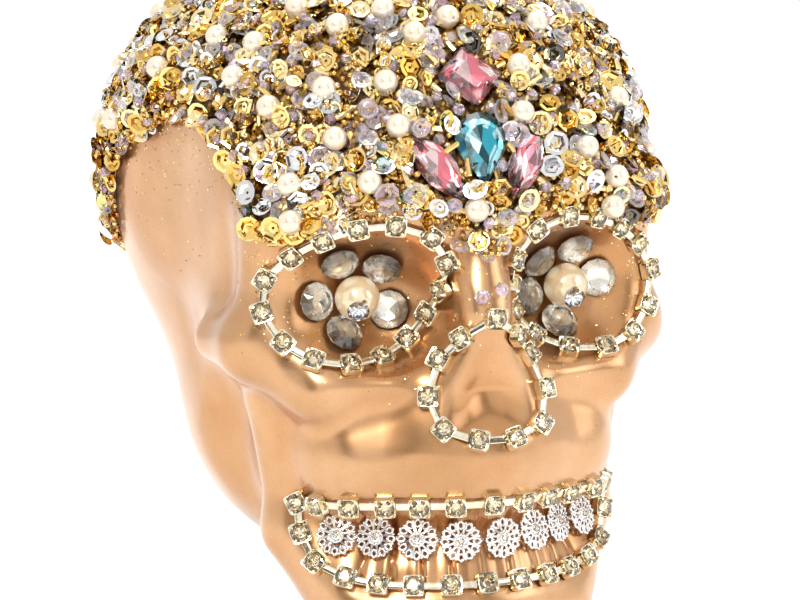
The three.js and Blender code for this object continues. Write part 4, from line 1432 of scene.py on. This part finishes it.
for side, sign in (("left", -1), ("right", 1)):
    round_way = np.radians(EYE_DEGREES[side])
    across = sign * EYE["x"] + EYE["spread"] * np.cos(round_way)
    seats = front_seat(across, EYE["z"] + EYE["spread"] * np.sin(round_way))
    stones = Pile().lay(eye_stone, *seat_frames(seats, EYE["seat"]))
    nodes = [f"eye_stone_{side}_{i}" for i in range(1, 6)]
    glue(stones.mesh_object(f"eye_stones_{side}", smoke_glass, *smoke_foils), "grey_stone", *nodes)
    seat = front_seat(sign * EYE["x"], EYE["z"])
    middle = seat[0] + slope_at(seat)[0] * (SEAT_CLEARANCE + EYE["pearl"])
    ball = drilled_ball(EYE["pearl"], EYE["hole"], 40, 25)
    large = Pile().lay(ball, middle, seat_frames(seat)[1])
    glue(large.mesh_object(f"large_pearl_{side}", large_nacre), "pearl", f"eye_pearl_{side}")
    down, aside = math.radians(POINT_DOWN_DEGREES), math.radians(POINT_ASIDE_DEGREES[side])
    ahead = math.cos(aside)
    z = np.array((math.sin(aside), -math.cos(down) * ahead, -math.sin(down) * ahead))
    x = np.array((math.cos(aside), math.sin(aside), 0))
    x -= (x * z).sum() * z
    x /= np.linalg.norm(x)
    basis = np.stack([x, np.cross(z, x), z], 1)[None]
    point = Pile().lay(eye_point, middle + z * (EYE["pearl"] + EYE["point_off"]), basis)
    piece = point.mesh_object(f"pointed_crystal_{side}", silver_glass, *silver_foils)
    glue(piece, "silver_crystal", f"eye_point_{side}")

# %% [markdown]
# The trim over the teeth is stamped silver filigree: flowers that touch, each with a ring of small
# loops, open slots between thin spokes, and a beaded centre. In front of the dark gaps between the
# teeth the slots read as dark lines, so the metal has to be pierced for real.

# %% Filigree flower
def torus(major, minor, around=12, section=6, stretch=1.0):
    rings = []
    for i in range(around):
        a = 2 * math.pi * i / around
        ring = []
        for j in range(section):
            b = 2 * math.pi * j / section
            r = major + minor * math.cos(b)
            ring.append((stretch * r * math.cos(a), r * math.sin(a), minor * math.sin(b)))
        rings.append(ring)
    made = loft(rings, loop=True, smooth=True)
    return Form(made.points, [tuple(reversed(face)) for face in made.faces], True)


def round_bead(radius, sides=8, rows=5, flat=1.0):
    profile = []
    for i, a in enumerate(np.linspace(0, math.pi, rows)):
        at_pole = i in (0, rows - 1)
        profile.append((0 if at_pole else radius * math.sin(a), -flat * radius * math.cos(a)))
    return turned(profile, sides)


def around(form, count, radius, z=0.0, start=0.0):
    """Copies of a form round the Z axis, each turned to face out along its own X."""
    whole_form = None
    for i in range(count):
        a = start + 2 * math.pi * i / count
        matrix = Matrix.Rotation(a, 4, "Z") @ Matrix.Translation((radius, 0, z))
        one = form.moved(matrix)
        whole_form = one if whole_form is None else whole_form + one
    return whole_form


def spoke_ring(r, half, z, thick=0.4):
    low, high = z - thick / 2, z + thick / 2
    return [(r, -half, low), (r, half, low), (r, half, high), (r, -half, high)]


PETALS = 12
spoke = loft([spoke_ring(1.3, 0.3, 0.9), spoke_ring(2.6, 0.26, 0.75), spoke_ring(4.4, 0.4, 0.55)])
flower = around(torus(0.72, 0.36, stretch=1.2), PETALS, 3.95, 0.55)
flower = flower + around(round_bead(0.46), PETALS, 4.86, 0.62)
flower = flower + around(round_bead(0.4), PETALS, 4.62, 0.62, math.pi / PETALS)
flower = flower + around(round_bead(0.36), PETALS, 3.05, 0.85)
flower = flower + around(spoke, PETALS, 0, 0, math.pi / PETALS)
flower = flower + torus(1.75, 0.38, 20).moved(Matrix.Translation((0, 0, 0.85)))
flower = flower + around(round_bead(0.36), 10, 1.6, 1.15)
flower = flower + turned([(0, 0.5), (1.5, 0.5), (1.5, 0.9), (0.9, 1.3), (0, 1.45)], 16)
silver = metal_foil("silver_plate", (0.88, 0.87, 0.88), (0.93, 0.92, 0.93), (0.97, 0.97, 0.98), 0.2)
print("one filigree flower:", len(flower.faces), "faces")

# %% [markdown]
# Eight flowers stand side by side on a line round the teeth. A tiny link joins each to the next,
# and each has a small clear stone in its middle. An array along a curve would space them as well,
# but frames found on the field lay each flower flat in front of the teeth.

# %% Flowers over the teeth
TRIM = {"flowers": 8, "pitch": 10, "z": 35.2, "reach": 56, "outer": 5, "link_up": 0.6}
turns = (2 * np.arange(241) / 240 - 1) * TRIM["reach"] / TEETH_RADIUS
over_teeth = cast_in((0, TEETH_AXIS, TRIM["z"]), way_out(turns, 0.0))
offsets = (np.arange(TRIM["flowers"]) - (TRIM["flowers"] - 1) / 2) * TRIM["pitch"]
steps = steps_along(over_teeth, lambda run: run / 2 + offsets)
trim_places, trim_bases = frames_along(*steps, TRIM["outer"])
trim = Pile().lay(flower, trim_places, trim_bases)
out = trim_bases[1:, :, 2] + trim_bases[:-1, :, 2]
links = (trim_places[1:] + trim_places[:-1]) / 2 + TRIM["link_up"] * out / 2
trim.lay(torus(0.42, 0.16, 10, 5), links, trim_bases[1:])
glue(trim.mesh_object("teeth_filigree", silver), "filigree", "teeth_trim")
tiny_stone = cut_gem(polygon(0.85, 6), table_share=0.5, heights=(1.3, 1.5, 1.6, 1.9, 2.1))
centres = Pile().lay(tiny_stone, trim_places, trim_bases)
glue(centres.mesh_object("filigree_stones", clear_glass, *champagne_foils), "silver_crystal")

# %% [markdown]
# Under the jaw a string of small beads, dark and silver in turn, is glued round the glass and the
# foot. It is only just in the picture's sight, and it ends the paint neatly.

# %% Collar of beads
COLLAR = {"z": 10.5, "y": -20, "bead": 1.35, "off": 1.1, "row_off": 1.25, "in_a_row": 116}


def stand_distance(p):
    return np.minimum(skull_distance(p), np.hypot(p[:, 0], p[:, 1] - FOOT["y"]) - FOOT["radius"])


turns = 2 * np.pi * np.arange(361) / 360
dark_bead = Finish("dark_collar_bead", Metallic=0.4, Roughness=0.18, Coat_Weight=0.8)
darkest, palest = (0.015, 0.013, 0.013), (0.09, 0.075, 0.06)
dark_bead.set("Base Color", dark_bead.ramp(dark_bead.island(), (0, darkest), (1, palest)))
dark_bead.bump(dark_bead.noise(1500, 2), 0.00004, 0.3)
collar = Pile()
for row, height in enumerate((-COLLAR["row_off"], COLLAR["row_off"])):
    middle = (0, COLLAR["y"], COLLAR["z"] + height)
    line = cast_in(middle, way_out(turns, 0.0), COLLAR["off"], stand_distance)
    steps, _ = steps_along(line, evenly(COLLAR["in_a_row"]))
    for kind in (0, 1):
        form = round_bead(COLLAR["bead"], 10, 7)
        form.paint = [kind] * len(form.faces)
        collar.lay(form, steps[(np.arange(len(steps)) + row) % 2 == kind])
piece = collar.mesh_object("collar_of_beads", dark_bead.material, silver)
glue(piece, "collar_beads", "foot_collar")

# %% [markdown]
# The largest sequins are the same ones that the CAD model has, at the same places: a golden-angle
# spiral over the crown, thinned out near pearls, crystals, cups and the crust's edge, each leaning
# its own way. The golden angle is the turn by which a sunflower sets its seeds. It fills a dome
# evenly with no rows, which a grid could not do.

# %% Frames of the largest sequins
SEQUIN = {
    "spread": 284,
    "radius": 3.0,
    "up": 2.7,
    "turn_step": 2.4,
    "lean_step": 0.618,
    "lean_degrees": (24, 44),
    "from_edge_degrees": 3.5,
    "from_pearl": 7.2,
    "from_gem": 3.8,
    "beside_gem": 9,
    "from_cup": 6.8,
}
number = np.arange(SEQUIN["spread"])
up = np.arcsin(1 - (2 * number + 1) / SEQUIN["spread"])
turn = number * math.pi * (3 - math.sqrt(5))
number = number[up >= crust_edge(turn) + math.radians(SEQUIN["from_edge_degrees"])]
main_places = cast_in((0, 0, HIGH), way_out(turn[number], up[number]), SEQUIN["up"])
cup_places = np.vstack([chain_frames[name][0] for name in ("eye_chain_left", "eye_chain_right")])
free = clear_of(main_places, pearl_places[: len(pearl_nodes)], SEQUIN["from_pearl"])
free &= clear_of(main_places, cup_places, SEQUIN["from_cup"])
for origin, basis, outline in gem_room:
    local = (main_places - origin) @ basis
    low, high = outline.min(0) - SEQUIN["from_gem"], outline.max(0) + SEQUIN["from_gem"]
    inside = ((local[:, :2] > low) & (local[:, :2] < high)).all(1)
    free &= ~(inside & (np.abs(local[:, 2]) < SEQUIN["beside_gem"]))
number, main_places = number[free], main_places[free]
z = slope_at(main_places)
x = unit(np.cross((0, 0, 1), z))
y = np.cross(z, x)
flattest, steepest = np.radians(SEQUIN["lean_degrees"])
lean = (flattest + (steepest - flattest) * ((number * SEQUIN["lean_step"]) % 1))[:, None]
round_way = (number * SEQUIN["turn_step"])[:, None]
c, s = np.cos(round_way), np.sin(round_way)
x, y = c * x + s * y, c * y - s * x
c, s = np.cos(lean), np.sin(lean)
y, z = c * y + s * z, c * z - s * y
main_bases = np.stack([x, y, z], 2)
print(len(main_places), "largest sequins")

# %% [markdown]
# Along its lower edge the crust ends unevenly, as glued work does. Some pieces hang a little below
# the line, and more of them over the brows and over the nose.

# %% Along the lower edge
EDGE = {"draws": 5200, "front_share": 0.5, "above_degrees": 1.2, "below_degrees": 0.7}
EDGE |= {"brow_degrees": 3.0, "brow_end": 44, "brow_fade": 8, "nose_degrees": 2.2, "nose_wide": 6}
edge_turns = turns_round(EDGE["draws"], EDGE["front_share"])
away = degrees_from_front(edge_turns)
over_brow = np.clip((EDGE["brow_end"] - away) / EDGE["brow_fade"], 0, 1)
reach_down = EDGE["below_degrees"] + EDGE["brow_degrees"] * over_brow
reach_down += EDGE["nose_degrees"] * np.exp(-((away / EDGE["nose_wide"]) ** 2))
edge_up = EDGE["above_degrees"] - (EDGE["above_degrees"] + reach_down) * draw.random(EDGE["draws"])
edge_ways = way_out(edge_turns, crust_edge(edge_turns) + np.radians(edge_up))
edge_places = cast_in((0, 0, HIGH), edge_ways)
edge_places = edge_places[draw.permutation(len(edge_places))]
edge_out = slope_at(edge_places)
print(len(edge_places), "places along the lower edge")

# %% [markdown]
# The clear sequins and cut beads have a coating a few hundred millionths of a millimetre thick,
# which sends back some colours more than others, as soap film does. The shader's thin film does
# just that, so their lilac, blue and green shift with the light. Each piece also has a pale tint of
# its own, and a few cut beads are painted teal and deep green, as painted glints.

# %% Film finish
def filmed(name, tints, roughness, dents, **more):
    """Clear stuff under a thin film, its tint drawn for each piece, with fine dents."""
    clear = Finish(name, Roughness=roughness, Coat_Weight=0.8, Coat_Roughness=roughness, **more)
    clear.set("Base Color", clear.ramp(clear.island(), *tints))
    scale, deep, strength = dents
    clear.bump(clear.noise(scale, 2), deep, strength)
    return clear.material


lilac_film = filmed(
    "lilac_sequin_film",
    (
        (0.0, (0.98, 0.97, 0.99)),
        (0.25, (0.90, 0.88, 0.98)),
        (0.45, (0.98, 0.93, 0.97)),
        (0.65, (1.00, 0.99, 0.98)),
        (0.85, (0.86, 0.92, 0.98)),
        (1.0, (0.95, 0.98, 0.97)),
    ),
    roughness=0.03,
    dents=(1200, 0.00003, 0.25),
    IOR=1.6,
    Transmission_Weight=0.8,
    Thin_Film_Thickness=430,
    Thin_Film_IOR=1.8,
)
print("film finish:", lilac_film.name)

# %% [markdown]
# The sequins lie in layers. The lower ones are many and lean a lot, as they are caught between
# other beads. The upper ones are fewer and lie on top of them. Those at the edge keep close to the
# skin. Scattering nodes could spread them too, but it is easier in code to give each layer its own
# gaps from pearls, crystals and chains.

# %% Where the sequins lie
SEQUIN_DRAWS = 26000
LOWER = {"from_cup": 3.0, "from_pearl": 4.3, "from_gem": 1.3, "from_main": 4.1}
LOWER |= {"patch": -0.22, "apart": 3.25, "up": (1.7, 1.2), "lean_degrees": 56}
UPPER = {"from_cup": 3.0, "from_pearl": 5.2, "from_gem": 1.3, "from_main": 4.6}
UPPER |= {"patch": -0.4, "apart": 5.4, "up": (3.1, 0.6), "lean_degrees": 42}
AT_EDGE = {"from_cup": 3.7, "from_pearl": 4.3, "apart": 3.9, "size_from": 0.5}
AT_EDGE |= {"up": (1.0, 0.9), "lean_degrees": 40}

places, out = strewn(SEQUIN_DRAWS)
patch = patches(places)
free = room_for(places, LOWER) & (patch > LOWER["patch"])
lower = kept_apart(places, LOWER["apart"], free)
order = draw.permutation(len(places))
free = room_for(places, UPPER) & (patch > UPPER["patch"])
upper = order[kept_apart(places[order], UPPER["apart"], free[order])]
at_edge = kept_apart(edge_places, AT_EDGE["apart"], room_for(edge_places, AT_EDGE))
layers = (
    (LOWER, places[lower], out[lower]),
    (UPPER, places[upper], out[upper]),
    (AT_EDGE, edge_places[at_edge], edge_out[at_edge]),
)
print("sequins below, above and at the edge:", [len(feet) for _, feet, _ in layers])
centres = np.vstack([raised(feet, ways, *layer["up"]) for layer, feet, ways in layers])
bases = np.concatenate(
    [tilted_frames(ways, math.radians(layer["lean_degrees"])) for layer, _, ways in layers]
)
patch = np.concatenate([patch[lower], patch[upper], np.zeros(len(at_edge))])

# %% [markdown]
# A number between 0 and 1 is drawn for each sequin's size and another for its kind. The photograph
# shows a little more silver and lilac to the right and in patches, so the number for the kind grows
# there. Each kind becomes one mesh with a finish of its own.

# %% Sizes and kinds of sequins
MORE_SILVER = {"in_patches": 0.1, "to_the_right": 0.07, "half_wide": 60}
RIM_ABOVE_FRAME = 0.75
largest = cup_sequin(SEQUIN["radius"])
sizes = (
    (largest, 0, 0.5),
    (cup_sequin(2.5, 0.38), 0.5, 0.8),
    (cup_sequin(1.9, 0.33, cup=0.5), 0.8, 1.01),
)


def to_the_right(places):
    return MORE_SILVER["to_the_right"] * places[:, 0] / MORE_SILVER["half_wide"]


def among(draws, low, high):
    return (draws >= low) & (draws < high)


size_draw = draw.random(len(centres))
small = AT_EDGE["size_from"]
size_draw[-len(at_edge) :] = small + (1 - small) * size_draw[-len(at_edge) :]
kind_draw = draw.random(len(centres)) + MORE_SILVER["in_patches"] * np.clip(patch, -1, 1)
kind_draw += to_the_right(centres)
main_draw = draw.random(len(main_places)) + to_the_right(main_places)
rim_at_frame = main_places - RIM_ABOVE_FRAME * main_bases[:, :, 2]
kinds = (
    ("gold_sequins", -1.0, 0.58, gold_foil),
    ("silver_sequins", 0.58, 0.75, silver_foil),
    ("lilac_sequins", 0.75, 0.985, lilac_film),
    ("black_sequins", 0.985, 2.0, dark_foil),
)
for name, low, high, material in kinds:
    pile = Pile()
    of_kind = among(kind_draw, low, high)
    for form, first, last in sizes:
        mine = of_kind & among(size_draw, first, last)
        pile.lay(form, centres[mine], bases[mine])
    mine = among(main_draw, low, high)
    pile.lay(largest, rim_at_frame[mine], main_bases[mine])
    glue(pile.mesh_object(name, material), "bead_mix")

# %% [markdown]
# Between the sequins lie seed beads, short bugle tubes and small cut beads, gold and amber for the
# most part. They gather in patches where the glue was left free. Two large cut beads sit on the
# bridge of the nose.

# %% Bead forms and finishes
def bugle(long, radius=0.75, hole=0.32, sides=7):
    end = long / 2
    profile = [(hole, -end), (radius, -end), (radius, end), (hole, end)]
    return turned(profile, sides, loop=True, smooth=False)


def cut_bead(radius=1.7, hole=0.4, sides=6):
    shoulder = radius * 0.62
    profile = [(hole, -1.2), (shoulder, -1.1), (radius, 0), (shoulder, 1.1), (hole, 1.2)]
    return turned(profile, sides, loop=True, smooth=False)


seed_gold = metal_foil(
    "gold_seed_bead",
    (0.45, 0.20, 0.03),
    (0.80, 0.50, 0.12),
    (1.0, 0.80, 0.40),
    0.16,
    0.85,
    Coat_Weight=0.8,
)
bugle_gold = metal_foil(
    "gold_bugle",
    (0.62, 0.36, 0.07),
    (0.90, 0.62, 0.20),
    (1.0, 0.86, 0.50),
    0.14,
    0.9,
    Coat_Weight=0.8,
)
cut_film = filmed(
    "iridescent_cut_bead",
    (
        (0.0, (0.98, 0.96, 0.99)),
        (0.25, (0.88, 0.90, 0.99)),
        (0.45, (0.99, 0.93, 0.96)),
        (0.65, (0.88, 0.95, 0.98)),
        (0.90, (0.97, 0.98, 1.00)),
        # A few cut beads are painted teal and deep green: painted glints.
        (0.96, (0.25, 0.78, 0.74)),
        (1.0, (0.03, 0.35, 0.25)),
    ),
    roughness=0.02,
    dents=(1500, 0.00002, 0.2),
    IOR=1.7,
    Transmission_Weight=0.85,
    Thin_Film_Thickness=380,
    Thin_Film_IOR=2.1,
)
print("bead finishes:", seed_gold.name, bugle_gold.name, cut_film.name)

# %% [markdown]
# Three kinds of beads share the free places. Seed beads take the patches with few sequins, bugles
# lie down nearly flat where 4 mm are free for them, and cut beads sit on top here and there. Each
# kind looks only at its own neighbours, so beads of two kinds may touch, as they do in real glue.

# %% Where the beads lie
BEADS = {"draws": 60000, "from_cup": 2.6, "from_pearl": 3.0, "from_gem": 0.9}
SEEDS = {"patch": 0.02, "apart": 1.75, "up": (1.3, 1.6), "lean": 1.5}
TUBES = {"patch": 0.25, "apart": 4.3, "up": (2.2, 1.0), "lean_degrees": 25, "long": (4.4, 2.6)}
CUTS = {"patch": -0.5, "apart": 5.6, "up": (2.4, 1.0), "lean": 1.4}
AT_NOSE = {"x": [-2.6, 1.6], "z": [96.2, 97.6], "radius": 2.0, "hole": 0.5, "up": 1.6, "lean": 0.5}
places, out = strewn(BEADS["draws"])
free = room_for(places, BEADS)
patch = patches(places)
seeds = kept_apart(places, SEEDS["apart"], free & (patch < SEEDS["patch"]))
seed_places = raised(places[seeds], out[seeds], *SEEDS["up"])
seed_frames = tilted_frames(out[seeds], SEEDS["lean"])
pile = Pile().lay(round_bead(1.0, 6, 5, 0.8), seed_places, seed_frames)
glue(pile.mesh_object("seed_beads", seed_gold), "bead_mix")

backward = np.arange(len(places))[::-1]
tubes = backward[kept_apart(places[::-1], TUBES["apart"], (free & (patch < TUBES["patch"]))[::-1])]
x, y, z = np.moveaxis(tilted_frames(out[tubes], math.radians(TUBES["lean_degrees"])), 2, 0)
lying = np.stack([z, -y, x], 2)
tube_places = raised(places[tubes], out[tubes], *TUBES["up"])
picked = draw.random(len(tubes)) < 0.5
pile = Pile()
for long, mine in zip(TUBES["long"], (picked, ~picked)):
    pile.lay(bugle(long), tube_places[mine], lying[mine])
glue(pile.mesh_object("bugle_beads", bugle_gold), "bead_mix")

order = draw.permutation(len(places))
cuts = order[kept_apart(places[order], CUTS["apart"], (free & (patch > CUTS["patch"]))[order])]
cut_places = raised(places[cuts], out[cuts], *CUTS["up"])
pile = Pile().lay(cut_bead(), cut_places, tilted_frames(out[cuts], CUTS["lean"]))
at_nose = front_seat(AT_NOSE["x"], AT_NOSE["z"])
nose_out = slope_at(at_nose)
large = cut_bead(AT_NOSE["radius"], AT_NOSE["hole"])
pile.lay(large, at_nose + AT_NOSE["up"] * nose_out, tilted_frames(nose_out, AT_NOSE["lean"]))
glue(pile.mesh_object("cut_beads", cut_film), "bead_mix")
print(len(seeds), "seed beads,", len(tubes), "bugles,", len(cuts), "cut beads")

# %% [markdown]
# Where the crust ends, seed beads sit close along the line, and over the brows they fill the strip
# down to the chains. A dust of gold glitter has strayed onto the paint, most of it near the edge
# and round the eyes.

# %% Fringe and glitter
FRINGE = {"from_cup": 2.7, "from_pearl": 3.2, "apart": 1.4, "up": (0.7, 1.1), "lean": 1.5}
STRAYS = {"round_degrees": 110, "down_degrees": (0.8, 7), "lowest": 60, "count": 900}
STRAYS |= {"off_skin": 0.3, "from_cup": 3.0, "up": 0.03, "lean": 0.5}
ROUND_EYES = {"count": 500, "x": 28, "z": 96, "wide": (21, 5), "tall": (17, 4)}
fringe = kept_apart(edge_places, FRINGE["apart"], room_for(edge_places, FRINGE))
fringe_places = raised(edge_places[fringe], edge_out[fringe], *FRINGE["up"])
fringe_frames = tilted_frames(edge_out[fringe], FRINGE["lean"])
pile = Pile().lay(round_bead(0.85, 6, 5, 0.85), fringe_places, fringe_frames)
glue(pile.mesh_object("edge_beads", seed_gold), "bead_mix")

far, (nearest, mean_down) = STRAYS["round_degrees"], STRAYS["down_degrees"]
stray_turns = np.radians(draw.uniform(-far, far, STRAYS["count"]))
stray_down = np.radians(nearest + draw.exponential(mean_down, STRAYS["count"]))
strays = cast_in((0, 0, HIGH), way_out(stray_turns, crust_edge(stray_turns) - stray_down))
count = ROUND_EYES["count"]
round_eye = draw.random(count) * 2 * np.pi
wide, tall = (a + b * draw.normal(size=count) for a, b in (ROUND_EYES["wide"], ROUND_EYES["tall"]))
eye_x = np.where(draw.random(count) < 0.5, -ROUND_EYES["x"], ROUND_EYES["x"])
eye_z = ROUND_EYES["z"] + tall * np.sin(round_eye)
near_eyes = front_seat(eye_x + wide * np.cos(round_eye), eye_z)
strays = np.vstack([strays[strays[:, 2] > STRAYS["lowest"]], near_eyes])
on_skin = np.abs(skull_distance(strays)) < STRAYS["off_skin"]
strays = strays[on_skin & clear_of(strays, cup_places, STRAYS["from_cup"])]
stray_out = slope_at(strays)
fleck = turned([(0, -0.02), (0.24, 0), (0, 0.02)], 5, smooth=False)
raised_strays = strays + STRAYS["up"] * stray_out
pile = Pile().lay(fleck, raised_strays, tilted_frames(stray_out, STRAYS["lean"]))
glue(pile.mesh_object("stray_glitter", gold_foil), "bead_mix")
print(len(fringe), "beads along the edge,", len(strays), "flecks of glitter")

# %% [markdown]
# The skull stands on a white table in front of a white backdrop. The sky gives plain soft light,
# and lamps from the upper left, the right, above and behind give the forms their shade. Polished
# metal needs something dark to mirror, or it looks like paper, so two dark cards stand in front,
# beside the camera, which only mirrors can see, as photographers do with black flags.

# %% World
world = bpy.data.worlds.new("studio")
bpy.context.scene.world = world
world.use_nodes = True
SKY_LIGHT, SKY_SEEN = 0.46, 1.0


def by_ray(tree, light, seen):
    """A strength with one value for the light on things and another for what is seen of it,
    straight, mirrored or through glass."""
    path = tree.nodes.new("ShaderNodeLightPath")
    is_seen = path.outputs["Is Camera Ray"]
    for kind in ("Is Glossy Ray", "Is Transmission Ray"):
        larger = tree.nodes.new("ShaderNodeMath")
        larger.operation = "MAXIMUM"
        tree.links.new(is_seen, larger.inputs[0])
        tree.links.new(path.outputs[kind], larger.inputs[1])
        is_seen = larger.outputs[0]
    strength = tree.nodes.new("ShaderNodeMapRange")
    strength.inputs["To Min"].default_value = light
    strength.inputs["To Max"].default_value = seen
    tree.links.new(is_seen, strength.inputs["Value"])
    return strength.outputs["Result"]


background = world.node_tree.nodes["Background"]
background.inputs["Color"].default_value = (1, 1, 1, 1)
sky = by_ray(world.node_tree, SKY_LIGHT, SKY_SEEN)
world.node_tree.links.new(sky, background.inputs["Strength"])
print("sky strength:", SKY_LIGHT, "as light,", SKY_SEEN, "as seen")

# %% [markdown]
# The table is a wide white plate and the cards are two smaller dark ones. A plain white table would
# look grey next to the backdrop. So it glows faintly for rays that see it, which makes it as white
# as the backdrop, and yet it lights nothing.

# %% Table and cards
TABLE_LIGHT, TABLE_SEEN = 0.0, 0.55


def plate(name, size, place, look_at, material):
    mesh = bpy.data.meshes.new(name)
    x, y = (s / 2 for s in size)
    mesh.from_pydata([(-x, -y, 0), (x, -y, 0), (x, y, 0), (-x, y, 0)], [], [(0, 1, 2, 3)])
    mesh.materials.append(material)
    card = bpy.data.objects.new(name, mesh)
    card.location = place
    if look_at is not None:
        card.rotation_euler = (Vector(look_at) - Vector(place)).to_track_quat("Z", "Y").to_euler()
    bpy.context.scene.collection.objects.link(card)
    card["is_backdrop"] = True
    return card


table_paint = Finish(
    "white_table",
    Base_Color=(0.8, 0.8, 0.8, 1),
    Roughness=0.9,
    Specular_IOR_Level=0,
    Emission_Color=(1, 1, 1, 1),
)
glow = by_ray(table_paint.material.node_tree, TABLE_LIGHT, TABLE_SEEN)
table_paint.set("Emission Strength", glow)
plate("table", (16, 16), (0, 0, 0), None, table_paint.material)

card_black = Finish("dark_card", Base_Color=(0.07, 0.042, 0.03, 1)).material
FACE = Vector((0, -0.03, 0.09))
for name, size, place in (
    ("card_left", (0.75, 1.5), (-1.25, -1.0, 0.5)),
    ("card_right", (0.9, 1.4), (0.85, -1.3, 0.75)),
):
    card = plate(name, size, place, FACE, card_black)
    card.visible_camera = card.visible_diffuse = card.visible_shadow = False
print("table and cards stand")

# %% [markdown]
# The lamps are square area lamps that look at the face. A large lamp near by gives soft shade, and
# a small one further off gives the sharp glints on the cut stones.

# %% Lamps
def lamp(name, size, place, power, colour=(1, 1, 1)):
    data = bpy.data.lights.new(name, "AREA")
    data.shape, data.size, data.energy, data.color = "SQUARE", size, power, colour
    made = bpy.data.objects.new(name, data)
    made.location = place
    made.rotation_euler = (FACE - Vector(place)).to_track_quat("-Z", "Y").to_euler()
    bpy.context.scene.collection.objects.link(made)


lamp("key_left", size=0.4, place=(-0.75, -1.0, 1.0), power=12, colour=(1.0, 0.98, 0.95))
lamp("fill_right", size=0.8, place=(1.0, -0.8, 0.6), power=4.5, colour=(0.97, 0.98, 1.0))
lamp("top", size=0.8, place=(0.1, 0.2, 1.3), power=6)
lamp("back_right", size=0.6, place=(0.7, 0.9, 0.7), power=4)
bpy.context.scene.view_settings.view_transform = "Standard"
print("stage set")

# %% [markdown]
# The boxes of the CAD model and of the dressed skull are printed next to each other.

# %% Sizes and the end
box = [list(corner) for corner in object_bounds()]
for label, corners in (("CAD", cad_box), ("dressed", box)):
    print(label, "box, mm:", [[round(1000 * v, 1) for v in corner] for corner in corners])
